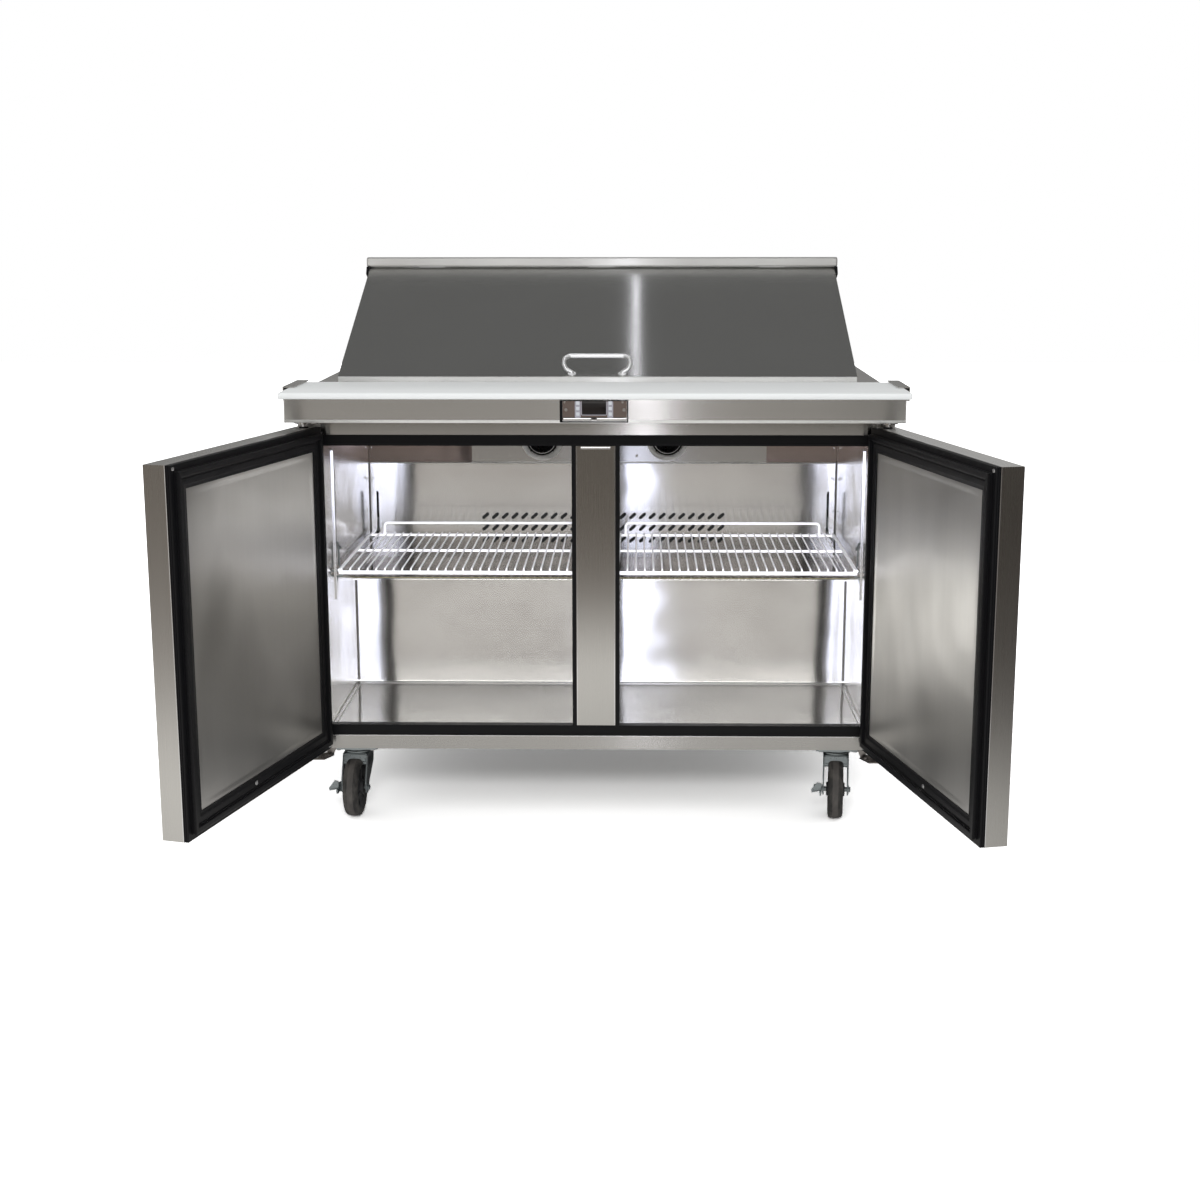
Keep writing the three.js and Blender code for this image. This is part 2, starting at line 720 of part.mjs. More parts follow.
function doorGasket(name, side) {
  const seat = DOOR_INNER + GAP;
  const ridgeInset = GASKET_INSET + 9;
  const base = doorRing(side, GASKET_INSET, GASKET_INSET + GASKET_WIDTH, seat, seat + 4);
  const bulb = doorRing(side, GASKET_INSET, ridgeInset, seat + 3, seat + GASKET_THICKNESS);
  return named(name, join(base, bulb), gasketRubber);
}

function doorLiner(name, side) {
  const inset = GASKET_INSET + GASKET_WIDTH + 0.5;
  const panel = doorBox(
    side, DOOR_HINGE_SIDE + inset, DOOR_FREE_SIDE - inset,
    DOOR_INNER + GAP, DOOR_INNER + 1.6,
    DOOR_BOTTOM + inset, DOOR_TOP - inset,
  );
  return named(name, panel, stainless);
}

function door(prefix, side, openAngle) {
  const group = new THREE.Group();
  group.add(doorSkin(`${prefix}_skin`, side));
  group.add(doorCore(`${prefix}_core`, side));
  group.add(doorLiner(`${prefix}_liner`, side));
  group.add(doorGasket(`${prefix}_gasket`, side));
  group.position.set(side * DOOR_PIVOT_X, DOOR_PIVOT_Y, 0);
  group.rotation.z = radians(side * openAngle);
  return group;
}

// Hinge bracket: a leaf bolted to the cabinet's front and a plate that carries the pin.
function hingeBracket(name, side, plateBottom, leafBottom, leafTop, pinTip) {
  const plateTop = plateBottom + 4;
  const inner = side * (DOOR_PIVOT_X - 24);
  const outer = side * BODY_HALF_WIDTH;
  const back = BODY_FRONT - GAP;
  const plate = box(inner, outer, DOOR_PIVOT_Y - 12, back, plateBottom, plateTop);
  const leaf = box(inner, outer, back - 3.6, back, leafBottom, leafTop);
  const x = side * DOOR_PIVOT_X;
  const pin = rod([x, DOOR_PIVOT_Y, (plateBottom + plateTop) / 2], [x, DOOR_PIVOT_Y, pinTip], HINGE_PIN_RADIUS);
  return named(name, join(plate, leaf, pin), chrome);
}

// Shelves and their wall strips

function wireShelf(name, side) {
  const inner = SHELF_INNER;
  const outer = SHELF_OUTER;
  const rodTop = SHELF_LEVEL - WIRE + 0.5;
  const wireCount = Math.floor((outer - inner - ROD) / WIRE_PITCH);
  const firstWire = (inner + outer) / 2 - (wireCount * WIRE_PITCH) / 2;
  const pieces = [];
  const wireProfile = [
    [SHELF_FRONT, SHELF_LEVEL - 14],
    [SHELF_FRONT + WIRE, SHELF_LEVEL - 14],
    [SHELF_FRONT + WIRE, SHELF_LEVEL - WIRE],
    [SHELF_REAR, SHELF_LEVEL - WIRE],
    [SHELF_REAR, SHELF_LEVEL],
    [SHELF_FRONT, SHELF_LEVEL],
  ];
  for (let i = 0; i <= wireCount; i += 1) {
    const x = firstWire + i * WIRE_PITCH;
    pieces.push(alongX(wireProfile, x - WIRE / 2, x + WIRE / 2));
  }
  for (const y of [SHELF_FRONT + WIRE + 3, SHELF_REAR - ROD - 1]) {
    pieces.push(box(inner + 1, outer - 1, y, y + ROD, rodTop - ROD, rodTop));
  }
  pieces.push(box(inner + 1, outer - 1, SHELF_MIDDLE, SHELF_MIDDLE + ROD, rodTop - ROD - 0.8, rodTop - 0.8));
  for (const x of [inner, outer - ROD]) {
    pieces.push(box(x, x + ROD, SHELF_FRONT + WIRE + 4, SHELF_REAR - 2, rodTop - ROD - 0.4, rodTop - 0.4));
  }
  const railLevel = SHELF_LEVEL + 26;
  const railInset = 40;
  const railBack = SHELF_REAR - 1;
  const railFront = railBack - ROD;
  pieces.push(box(inner + railInset, outer - railInset, railFront, railBack, railLevel - ROD, railLevel));
  for (const x of [inner + railInset, outer - railInset - ROD]) {
    pieces.push(box(x, x + ROD, railFront, railBack, rodTop - ROD + 0.5, railLevel - 1));
  }
  const shelf = join(...pieces);
  if (side < 0) {
    shelf.translate(-inner - outer, 0, 0);
  }
  return named(name, shelf, wireCoating);
}

// Slotted strip on a side wall, with the clip that carries the shelf's front end.
function frontPilaster(name, side) {
  const y = SHELF_FRONT + 38;
  const wall = side * (OPENING_HALF_WIDTH - GAP);
  const face = side * (OPENING_HALF_WIDTH - 2.8);
  const strip = box(wall, face, y - 11, y + 11, FLOOR_LEVEL + 260, OPENING_TOP - 28);
  const slot = box(
    side * (OPENING_HALF_WIDTH + 1), side * (OPENING_HALF_WIDTH - 4), y - 2.5, y + 2.5,
    SHELF_LEVEL + 24, OPENING_TOP - 70,
  );
  const ledge = SHELF_LEVEL - WIRE - ROD - 0.5;
  const clip = join(
    box(side * (OPENING_HALF_WIDTH - 1.5), side * (SHELF_OUTER - 10), y - 8, y + 8, ledge - 3, ledge),
    box(side * (OPENING_HALF_WIDTH - 1.5), face - side * 1.6, y - 8, y + 8, ledge - 22, ledge - 1),
  );
  return named(name, join(cut(strip, slot), clip), zinc);
}

// Slotted strip on the back wall beside the corner, with the long clip under the shelf's rear end.
function rearPilaster(name, side) {
  const x = side * REAR_PILASTER_X;
  const wall = BACK_WALL - GAP;
  const face = BACK_WALL - 2.8;
  const strip = box(x - 11, x + 11, face, wall, HUMP_TOP + 16, REAR_PILASTER_TOP);
  const slot = box(x - 2.5, x + 2.5, face - 1, wall + 1, SHELF_LEVEL - 20, REAR_PILASTER_TOP - 52);
  const ledge = SHELF_LEVEL - WIRE - ROD - 0.5;
  const arm = box(x - 3, x + 3, SHELF_REAR - 20, face + 1, ledge - 10, ledge);
  const heel = box(x - 8, x + 8, face - 1.8, face + 1, ledge - 26, ledge);
  return named(name, join(cut(strip, slot), arm, heel), zinc);
}

// Evaporator in the storage space

const EVAPORATOR_FRONT = 176;
const EVAPORATOR_LEFT = -305;
const EVAPORATOR_RIGHT = 389;
const EVAPORATOR_BOTTOM = 538;
const EVAPORATOR_TOP = 646;
const EVAPORATOR_PLATE_BOTTOM = 519;
const EVAPORATOR_FANS = [-139, 156];
const EVAPORATOR_FAN_LEVEL = 592;
const FAN_RADIUS = 41;

function evaporatorCover() {
  const back = BACK_WALL - GAP;
  const frontPanel = box(
    EVAPORATOR_LEFT, EVAPORATOR_RIGHT, EVAPORATOR_FRONT, back, EVAPORATOR_BOTTOM, EVAPORATOR_TOP,
  );
  const hollow = box(
    EVAPORATOR_LEFT + SHEET, EVAPORATOR_RIGHT - SHEET,
    EVAPORATOR_FRONT + SHEET, back + 1,
    EVAPORATOR_BOTTOM + SHEET, EVAPORATOR_TOP - SHEET,
  );
  const fanHoles = EVAPORATOR_FANS.map((x) => rod(
    [x, EVAPORATOR_FRONT - 2, EVAPORATOR_FAN_LEVEL],
    [x, EVAPORATOR_FRONT + 4, EVAPORATOR_FAN_LEVEL],
    FAN_RADIUS + 4,
    24,
  ));
  const fins = [];
  const finCount = 12;
  const coilLeft = EVAPORATOR_LEFT + 40;
  const finPitch = (EVAPORATOR_RIGHT - 40 - coilLeft) / finCount;
  for (let i = 0; i < finCount; i += 1) {
    const x = coilLeft + i * finPitch;
    fins.push(box(x, x + 2, EVAPORATOR_FRONT + 62, back - 6, EVAPORATOR_BOTTOM + 12, EVAPORATOR_TOP - 12));
  }
  const coilTubes = [EVAPORATOR_BOTTOM + 40, EVAPORATOR_TOP - 40].map((z) => box(
    EVAPORATOR_LEFT + 0.6, EVAPORATOR_RIGHT - 0.6, back - 34, back - 26, z - 4, z + 4,
  ));
  const motorRail = box(
    EVAPORATOR_LEFT + 0.6, EVAPORATOR_RIGHT - 0.6,
    EVAPORATOR_FRONT + 44, EVAPORATOR_FRONT + 48,
    EVAPORATOR_FAN_LEVEL - 6, EVAPORATOR_FAN_LEVEL + 6,
  );
  const fanMotors = EVAPORATOR_FANS.map((x) => join(
    box(x - 16, x + 16, EVAPORATOR_FRONT + 26, EVAPORATOR_FRONT + 70,
      EVAPORATOR_FAN_LEVEL - 16, EVAPORATOR_FAN_LEVEL + 16),
    rod([x, EVAPORATOR_FRONT + 14, EVAPORATOR_FAN_LEVEL], [x, EVAPORATOR_FRONT + 28, EVAPORATOR_FAN_LEVEL], 3),
  ));
  const plate = box(
    -OPENING_HALF_WIDTH + GAP, OPENING_HALF_WIDTH - GAP,
    back - 2, back, EVAPORATOR_PLATE_BOTTOM, EVAPORATOR_TOP,
  );
  const cover = join(cut(frontPanel, hollow, ...fanHoles), plate, ...coilTubes, ...fins, motorRail, ...fanMotors);
  return named('evaporator_unit', cover, polishedLiner);
}

// Axial fan facing -Y with its hub on the Y axis through the given centre.
function axialFan(name, x, y, z, radius, blades) {
  const hub = turnedAboutY([[3.4, -7], [13, -7], [15, -4], [15, 7], [3.4, 7], [3.4, -7]], 16);
  const parts = [hub];
  const bladeShape = new THREE.Shape();
  bladeShape.absarc(0, 0, radius, radians(-22), radians(24), false);
  bladeShape.absarc(0, 0, 13.6, radians(18), radians(-18), true);
  for (let i = 0; i < blades; i += 1) {
    const blade = new THREE.ExtrudeGeometry(bladeShape, { depth: 1.6, bevelEnabled: false, curveSegments: 5 });
    blade.translate(0, 0, -0.8);
    blade.rotateX(radians(14));
    blade.rotateZ((i * 2 * Math.PI) / blades);
    blade.rotateX(Math.PI / 2);
    parts.push(blade);
  }
  const fan = join(...parts);
  fan.translate(x, y, z);
  return named(name, fan, blackPlastic);
}

// Condensing unit in the rear compartment

const UNIT_FLOOR = 4;
const CONDENSER_FAN_X = 250;
const CONDENSER_FAN_Y = 214;
const CONDENSER_FAN_Z = 118;
const CONDENSER_FAN_RADIUS = 84;

function condensingUnit() {
  const base = box(-480, 480, COMPARTMENT_FRONT + 20, BODY_BACK - 14, UNIT_FLOOR, UNIT_FLOOR + 4);
  const compressor = turnedAboutZ(
    [[0, 0], [78, 0], [86, 14], [86, 92], [76, 128], [48, 148], [0, 156]],
    16,
  );
  compressor.translate(-260, 236, UNIT_FLOOR + 14);
  const feet = [[-70, -50], [70, -50], [-70, 50], [70, 50]].map(([x, y]) => rod(
    [-260 + x, 236 + y, UNIT_FLOOR + 2], [-260 + x, 236 + y, UNIT_FLOOR + 30], 12, 10,
  ));
  const footPlate = box(-350, -170, 172, 300, UNIT_FLOOR + 18, UNIT_FLOOR + 22);
  const finTop = UNIT_FLOOR + 206;
  const core = [];
  const finCount = 11;
  for (let i = 0; i < finCount; i += 1) {
    const x = 126 + i * 23.2;
    core.push(box(x, x + 2.4, 282, 336, UNIT_FLOOR + 2, finTop));
  }
  const tubes = [60, 110, 160].map((z) => box(122, 378, 302, 312, z, z + 9));
  const shroud = cut(
    box(116, 384, 240, 282.6, UNIT_FLOOR + 2, finTop + 4),
    box(119, 381, 243, 284, UNIT_FLOOR + 5, finTop + 1),
    rod([CONDENSER_FAN_X, 236, CONDENSER_FAN_Z], [CONDENSER_FAN_X, 248, CONDENSER_FAN_Z],
      CONDENSER_FAN_RADIUS + 5, 28),
  );
  const sideRails = [116, 381].map((x) => box(x, x + 3, 280, 337, UNIT_FLOOR + 2, finTop + 4));
  const motor = join(
    rod([CONDENSER_FAN_X, 128, CONDENSER_FAN_Z], [CONDENSER_FAN_X, 190, CONDENSER_FAN_Z], 34, 20),
    rod([CONDENSER_FAN_X, 186, CONDENSER_FAN_Z], [CONDENSER_FAN_X, 216, CONDENSER_FAN_Z], 3),
    box(CONDENSER_FAN_X - 20, CONDENSER_FAN_X + 20, 140, 176, UNIT_FLOOR + 2, CONDENSER_FAN_Z - 10),
  );
  const pipe = rod([-180, 240, 150], [124, 307, 164], 5, 8);
  const unit = join(base, compressor, ...feet, footPlate, ...core, ...tubes, shroud, ...sideRails, motor, pipe);
  return named('condensing_unit', unit, machinePaint);
}

function rearGrille() {
  const y0 = BODY_BACK + GAP;
  const panel = box(-GRILLE_HALF_WIDTH, GRILLE_HALF_WIDTH, y0, y0 + 1.5, GRILLE_BOTTOM, GRILLE_TOP);
  const slots = [];
  for (let row = 0; row < 9; row += 1) {
    for (const x of [-480, 20]) {
      const z = GRILLE_BOTTOM + 24 + row * 20;
      slots.push(box(x, x + 460, y0 - 1, y0 + 3, z, z + 8));
    }
  }
  return named('rear_grille', cut(panel, ...slots), stainless);
}

// Controller set in the apron

function controllerHousing() {
  const front = TOP_FRONT - 2;
  const top = DECK_LEVEL - 1;
  const bottom = HEADER_TOP + 1.5;
  const plate = box(
    -CONTROLLER_HALF_WIDTH, CONTROLLER_HALF_WIDTH,
    front, TOP_FRONT - GAP, bottom, top,
  );
  const backBox = box(
    -CONTROLLER_HALF_WIDTH + 8, CONTROLLER_HALF_WIDTH - 8,
    TOP_FRONT - 1, TOP_FRONT + 52, HEADER_TOP + 8, DECK_LEVEL - SHEET - 2 * GAP,
  );
  const window = box(
    -DISPLAY_HALF_WIDTH, DISPLAY_HALF_WIDTH,
    front - 1, front + 0.5, DISPLAY_BOTTOM, DECK_LEVEL - 1,
  );
  const keyHoles = buttonCentres().map(([x, z]) => box(
    x - BUTTON_SIZE / 2 - GAP, x + BUTTON_SIZE / 2 + GAP,
    front - 1, TOP_FRONT + 6,
    z - BUTTON_SIZE / 2 - GAP, z + BUTTON_SIZE / 2 + GAP,
  ));
  return named('controller', cut(join(plate, backBox, window), ...keyHoles), blackPlastic);
}

function buttonCentres() {
  return [-1, 1].flatMap((side) => [1, 0, -1].map((row) => [
    side * BUTTON_COLUMN,
    BUTTON_LEVEL + row * BUTTON_PITCH,
  ]));
}

function controllerButtons() {
  const names = ['left_top', 'left_middle', 'left_bottom', 'right_top', 'right_middle', 'right_bottom'];
  return buttonCentres().map(([x, z], i) => named(
    `button_${names[i]}`,
    box(
      x - BUTTON_SIZE / 2, x + BUTTON_SIZE / 2,
      TOP_FRONT - 3.2, TOP_FRONT + 3.5,
      z - BUTTON_SIZE / 2, z + BUTTON_SIZE / 2,
    ),
    keyPlastic,
  ));
}

// Casters

function casterPlate(name) {
  const plate = box(-47, 47, -42, 42, -4.3, -GAP);
  const race = turnedAboutZ([[0, -12], [26, -12], [31, -8], [31, -4], [0, -4]], 24);
  return named(name, join(plate, race), zinc);
}

function casterFork(name) {
  const crown = turnedAboutZ([[0, -18], [28, -18], [28, -12.4], [0, -12.4]], 24);
  const bridge = box(-27, 27, -30, 22, -18.4, -15.4);
  const legOutline = [
    [24, -17],
    [-30, -17],
    [-CASTER_TRAIL - 14, AXLE_LEVEL + 6],
    [-CASTER_TRAIL - 10, AXLE_LEVEL - 12],
    [-CASTER_TRAIL + 10, AXLE_LEVEL - 12],
    [-CASTER_TRAIL + 16, AXLE_LEVEL + 4],
    [24, -46],
  ];
  const leftLeg = alongX(legOutline, -27, -24);
  const rightLeg = alongX(legOutline, 24, 27);
  const axle = rod([-32, -CASTER_TRAIL, AXLE_LEVEL], [32, -CASTER_TRAIL, AXLE_LEVEL], AXLE_RADIUS);
  return named(name, join(crown, bridge, leftLeg, rightLeg, axle), zinc);
}

function casterWheel(name) {
  const bore = AXLE_RADIUS + 0.6;
  const half = WHEEL_HALF_WIDTH;
  // The flats between two corners of the turned tread touch the floor.
  const tread = WHEEL_RADIUS / Math.cos(Math.PI / WHEEL_SIDES);
  const profile = [
    [-half - 4, bore],
    [-half - 4, 15],
    [-half, 22],
    [-half, tread - 7],
    [4 - half, tread],
    [half - 4, tread],
    [half, tread - 7],
    [half, 22],
    [half + 4, 15],
    [half + 4, bore],
    [-half - 4, bore],
  ];
  const wheel = turnedAboutX(profile, WHEEL_SIDES);
  wheel.translate(0, -CASTER_TRAIL, AXLE_LEVEL);
  return named(name, wheel, wheelRubber);
}

// Foot lever on the outside of the fork's left leg, turning on the axle's end.
function brakePedal(name) {
  const hub = cut(
    rod([-34, -CASTER_TRAIL, AXLE_LEVEL], [-27.5, -CASTER_TRAIL, AXLE_LEVEL], 11, 16),
    rod([-36, -CASTER_TRAIL, AXLE_LEVEL], [-26, -CASTER_TRAIL, AXLE_LEVEL], AXLE_RADIUS + 0.5),
  );
  const arm = box(-33, -29, -CASTER_TRAIL - 34, -CASTER_TRAIL - 8, AXLE_LEVEL - 5, AXLE_LEVEL + 5);
  const tread = box(-56, -29, -CASTER_TRAIL - 40, -CASTER_TRAIL - 18, AXLE_LEVEL + 2, AXLE_LEVEL + 5);
  return named(name, join(hub, arm, tread), zinc);
}

const CASTERS = [
  { prefix: 'front_left', x: -CASTER_X, y: -CASTER_Y, swivel: -3, braked: true },
  { prefix: 'front_right', x: CASTER_X, y: -CASTER_Y, swivel: -6, braked: true },
  { prefix: 'rear_left', x: -CASTER_X, y: CASTER_Y, swivel: 12, braked: false },
  { prefix: 'rear_right', x: CASTER_X, y: CASTER_Y, swivel: 4, braked: false },
];

function caster({ prefix, x, y, swivel, braked }) {
  const group = new THREE.Group();
  group.position.set(x, y, 0);
  group.add(casterPlate(`${prefix}_caster_plate`));
  const turning = new THREE.Group();
  turning.rotation.z = radians(swivel);
  turning.add(casterFork(`${prefix}_caster_fork`));
  turning.add(casterWheel(`${prefix}_caster_wheel`));
  if (braked) {
    turning.add(brakePedal(`${prefix}_brake_pedal`));
  }
  group.add(turning);
  return group;
}

// Assembly

const table = new THREE.Group();
table.name = 'sandwich_prep_table';

table.add(outerCasing(), innerLiner(), insulationFoam(), breakerFrame(), centreMullion());
table.add(worktopDeck(), foodPans(), rearHood(), cuttingBoard());
table.add(boardClip('board_clip_left', -1), boardClip('board_clip_right', 1));
table.add(lidSkin(), lidLiner(), lidTopRail(), lidHandle());
table.add(door('left_door', -1, DOOR_OPEN_LEFT), door('right_door', 1, DOOR_OPEN_RIGHT));

for (const [word, side] of [['left', -1], ['right', 1]]) {
  table.add(hingeBracket(`top_hinge_${word}`, side, DOOR_TOP + 4, DOOR_TOP + 4, HEADER_TOP - 1, DOOR_TOP - 30));
  table.add(hingeBracket(`bottom_hinge_${word}`, side, 1.5, 1.5, 18, DOOR_BOTTOM + 30));
  table.add(wireShelf(`wire_shelf_${word}`, side));
  table.add(frontPilaster(`front_pilaster_${word}`, side));
  table.add(rearPilaster(`rear_pilaster_${word}`, side));
}

table.add(evaporatorCover());
EVAPORATOR_FANS.forEach((x, i) => {
  const name = `evaporator_fan_${i === 0 ? 'left' : 'right'}`;
  table.add(axialFan(name, x, EVAPORATOR_FRONT + 16, EVAPORATOR_FAN_LEVEL, FAN_RADIUS, 5));
});
table.add(condensingUnit(), rearGrille());
table.add(axialFan(
  'condenser_fan', CONDENSER_FAN_X, CONDENSER_FAN_Y, CONDENSER_FAN_Z, CONDENSER_FAN_RADIUS, 5,
));
table.add(controllerHousing(), ...controllerButtons());
table.add(...CASTERS.map(caster));

export default table;
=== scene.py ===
import json
import math

import bmesh
import bpy
from mathutils import Matrix, Vector
from mathutils.geometry import tessellate_polygon


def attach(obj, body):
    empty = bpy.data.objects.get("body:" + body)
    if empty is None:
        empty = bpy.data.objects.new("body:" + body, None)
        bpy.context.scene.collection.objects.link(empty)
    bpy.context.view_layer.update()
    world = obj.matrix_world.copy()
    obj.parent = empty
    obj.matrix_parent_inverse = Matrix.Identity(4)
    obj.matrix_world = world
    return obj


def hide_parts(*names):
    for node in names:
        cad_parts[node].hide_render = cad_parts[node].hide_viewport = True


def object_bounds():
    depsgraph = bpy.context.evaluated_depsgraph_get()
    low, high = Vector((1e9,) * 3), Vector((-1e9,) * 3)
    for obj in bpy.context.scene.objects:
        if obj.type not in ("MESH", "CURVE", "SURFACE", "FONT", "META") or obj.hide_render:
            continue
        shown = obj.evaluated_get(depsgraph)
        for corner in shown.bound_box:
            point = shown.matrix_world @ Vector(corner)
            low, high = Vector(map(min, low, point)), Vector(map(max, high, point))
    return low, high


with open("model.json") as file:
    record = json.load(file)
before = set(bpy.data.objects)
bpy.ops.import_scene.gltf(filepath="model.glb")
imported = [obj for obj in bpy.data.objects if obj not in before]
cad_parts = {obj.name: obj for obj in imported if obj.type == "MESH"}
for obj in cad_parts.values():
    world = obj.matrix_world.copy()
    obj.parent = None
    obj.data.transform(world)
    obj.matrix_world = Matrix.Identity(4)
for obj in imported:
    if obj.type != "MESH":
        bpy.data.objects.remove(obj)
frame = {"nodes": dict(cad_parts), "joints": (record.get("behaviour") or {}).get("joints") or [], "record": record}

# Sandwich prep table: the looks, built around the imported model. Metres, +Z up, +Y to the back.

cad_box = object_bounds()

MM = 0.001
X, Y, Z = Vector((1, 0, 0)), Vector((0, 1, 0)), Vector((0, 0, 1))
SIDES = {"left": -1, "right": 1}
JOINTS = {joint["name"]: joint for joint in frame["joints"]}
SLOTS = {row["node"]: row["material_slot"] for row in frame["record"]["subparts"]}
COLORS = {row["slot"]: row["base_color"][:3] for row in frame["record"]["materials"]}
FLOOR_LEVEL = cad_box[0].z


# ---------------------------------------------------------------- materials


class NodeTree:
    """A node tree, with short calls for the nodes used most."""

    def __init__(self, tree):
        self.nodes, self.links = tree.nodes, tree.links
        self.nodes.clear()

    def node(self, kind, inputs=None, **settings):
        made = self.nodes.new(kind)
        for key, value in settings.items():
            setattr(made, key, value)
        for key, value in (inputs or {}).items():
            self.feed(made.inputs[key], value)
        return made

    def feed(self, socket, value):
        if isinstance(value, bpy.types.NodeSocket):
            self.links.new(value, socket)
        elif isinstance(value, (tuple, list, Vector)) and socket.type == "RGBA" and len(value) == 3:
            socket.default_value = (*value, 1)
        else:
            socket.default_value = value

    def spread(self, value, low, high, from_low=0.0, from_high=1.0):
        inputs = {0: value, 1: from_low, 2: from_high, 3: low, 4: high}
        return self.node("ShaderNodeMapRange", inputs).outputs[0]

    def maths(self, operation, first, second=0.0):
        return self.node("ShaderNodeMath", {0: first, 1: second}, operation=operation).outputs[0]

    def mix(self, factor, first, second):
        made = self.node("ShaderNodeMix", data_type="RGBA")
        for key, value in (("Factor", factor), ("A", first), ("B", second)):
            self.feed([s for s in made.inputs if s.name == key and s.enabled][0], value)
        return [s for s in made.outputs if s.enabled][0]

    def ramp(self, value, stops):
        made = self.node("ShaderNodeValToRGB", {0: value})
        while len(made.color_ramp.elements) < len(stops):
            made.color_ramp.elements.new(0.5)
        for element, (position, color) in zip(made.color_ramp.elements, stops):
            element.position = position
            element.color = (*color, 1)
        return made.outputs[0]


class Shader(NodeTree):
    """A material's node tree, with its textures placed on the object."""

    def __init__(self, name):
        self.material = bpy.data.materials.new(name)
        self.material.use_nodes = True
        super().__init__(self.material.node_tree)
        self.place = self.node("ShaderNodeTexCoord").outputs["Object"]

    def noise(self, scale, detail=3, roughness=0.55, distortion=0):
        """Noise over the piece; scale is cells per metre, one number or one for each axis."""
        stretch = scale if isinstance(scale, (tuple, list)) else (scale,) * 3
        mapped = self.node("ShaderNodeMapping", {"Vector": self.place, "Scale": stretch})
        inputs = {"Vector": mapped.outputs[0], "Scale": 1.0, "Detail": detail,
                  "Roughness": roughness, "Distortion": distortion}
        return self.node("ShaderNodeTexNoise", inputs).outputs["Fac"]

    def uneven(self, base, coarse, low, high, fine, less, more):
        """A value that a coarse texture scales between two factors and a fine one shifts a little."""
        return self.maths("ADD", self.spread(coarse, base * low, base * high), self.spread(fine, less, more))

    def shade(self, color, brightness):
        return self.node("ShaderNodeHueSaturation", {"Color": color, "Value": brightness}).outputs[0]

    def bump(self, height, distance, strength=1.0, normal=None):
        """A normal bent by a texture's height; distance is in millimetres."""
        inputs = {"Height": height, "Distance": distance * MM, "Strength": strength}
        if normal is not None:
            inputs["Normal"] = normal
        return self.node("ShaderNodeBump", inputs).outputs[0]

    def surface(self, **inputs):
        named = {key.replace("_", " "): value for key, value in inputs.items()}
        made = self.node("ShaderNodeBsdfPrincipled", named)
        self.node("ShaderNodeOutputMaterial", {0: made.outputs[0]})
        return self.material


GRAIN_ALONG = 6
GRAIN_ACROSS = 1500


def brushed_metal(name, color, roughness, grain, anisotropy=1.0, tint=0.05, bump=0.01, dents=0.0,
                  painted_reflections=0.0):
    """Brushed sheet: fine lines along the grain axis, which smear reflections square to it."""
    s = Shader(name)
    scale = tuple(GRAIN_ALONG if axis else GRAIN_ACROSS for axis in grain)
    lines = s.noise(scale, detail=4, roughness=0.7)
    smudges = s.noise(5, detail=5, roughness=0.6)
    broad = s.noise(tuple(0.8 if axis else 70 for axis in grain), detail=3)
    value = s.spread(lines, 1 - tint, 1 + tint)
    value = s.maths("MULTIPLY", value, s.spread(broad, 0.975, 1.025))
    # Painted reflections: broad blotches make the base colour lighter and darker.
    if painted_reflections:
        cloud = s.noise((2.6, 2.6, 1.9), detail=1.5, roughness=0.5, distortion=0.9)
        value = s.maths("MULTIPLY", value, s.spread(cloud, 1 - painted_reflections, 1 + painted_reflections, 0.32, 0.68))
    base = s.shade(color, value)
    rough = s.uneven(roughness, lines, 0.8, 1.2, smudges, -0.02, 0.03)
    normal = s.bump(lines, bump)
    if dents:
        normal = s.bump(s.noise(2.6, detail=1), dents, normal=normal)
        normal = s.bump(s.noise(8, detail=1), 0.15 * dents, normal=normal)
    along = s.node(
        "ShaderNodeVectorTransform", {0: tuple(a + 0.01 * (i + 1) for i, a in enumerate(grain))},
        vector_type="VECTOR", convert_from="OBJECT", convert_to="WORLD",
    ).outputs[0]
    facing = s.node("ShaderNodeNewGeometry").outputs["Normal"]
    smear = s.node("ShaderNodeVectorMath", {0: facing, 1: along}, operation="CROSS_PRODUCT").outputs[0]
    return s.surface(
        Base_Color=base, Metallic=1.0, Roughness=rough, Anisotropic=anisotropy, Tangent=smear, Normal=normal,
    )


def polished_sheet(name, color, roughness, waves=0.0, wave_scale=(3, 3, 1.2), anisotropy=1.0):
    """Ground sheet with level lines: reflections smear upright on walls, fore and aft on floors."""
    s = Shader(name)
    lines = s.noise((2.5, 2.5, 900), detail=3, roughness=0.6)
    smudges = s.noise(7, detail=5, roughness=0.65)
    base = s.shade(color, s.spread(lines, 0.97, 1.03))
    rough = s.uneven(roughness, smudges, 0.85, 1.2, lines, -0.01, 0.01)
    normal = s.bump(lines, 0.003)
    if waves:
        normal = s.bump(s.noise(wave_scale, detail=1.2), waves, normal=normal)
        ripples = s.noise(tuple(1.7 * c if i < 2 else 7 * c for i, c in enumerate(wave_scale)), detail=1)
        normal = s.bump(ripples, 0.4 * waves, normal=normal)
    facing = s.node("ShaderNodeNewGeometry").outputs["Normal"]
    parts = s.node("ShaderNodeSeparateXYZ", {0: facing})
    level = s.maths("ABSOLUTE", parts.outputs["Z"])
    smear = s.node("ShaderNodeCombineXYZ", {"Y": level, "Z": s.maths("SUBTRACT", 1.0, level)}).outputs[0]
    return s.surface(
        Base_Color=base, Metallic=1.0, Roughness=rough, Anisotropic=anisotropy, Tangent=smear, Normal=normal,
    )


def plated_metal(name, color, roughness, mottle=0.05):
    """Chrome or zinc plating with a faint crystalline mottle and scuffs."""
    s = Shader(name)
    mottled = s.noise(260, detail=4)
    scuffs = s.noise((90, 90, 900), detail=3)
    base = s.shade(color, s.spread(mottled, 1 - mottle, 1 + mottle))
    rough = s.uneven(roughness, mottled, 0.8, 1.25, scuffs, -0.02, 0.05)
    return s.surface(Base_Color=base, Metallic=1.0, Roughness=rough, Normal=s.bump(scuffs, 0.006))


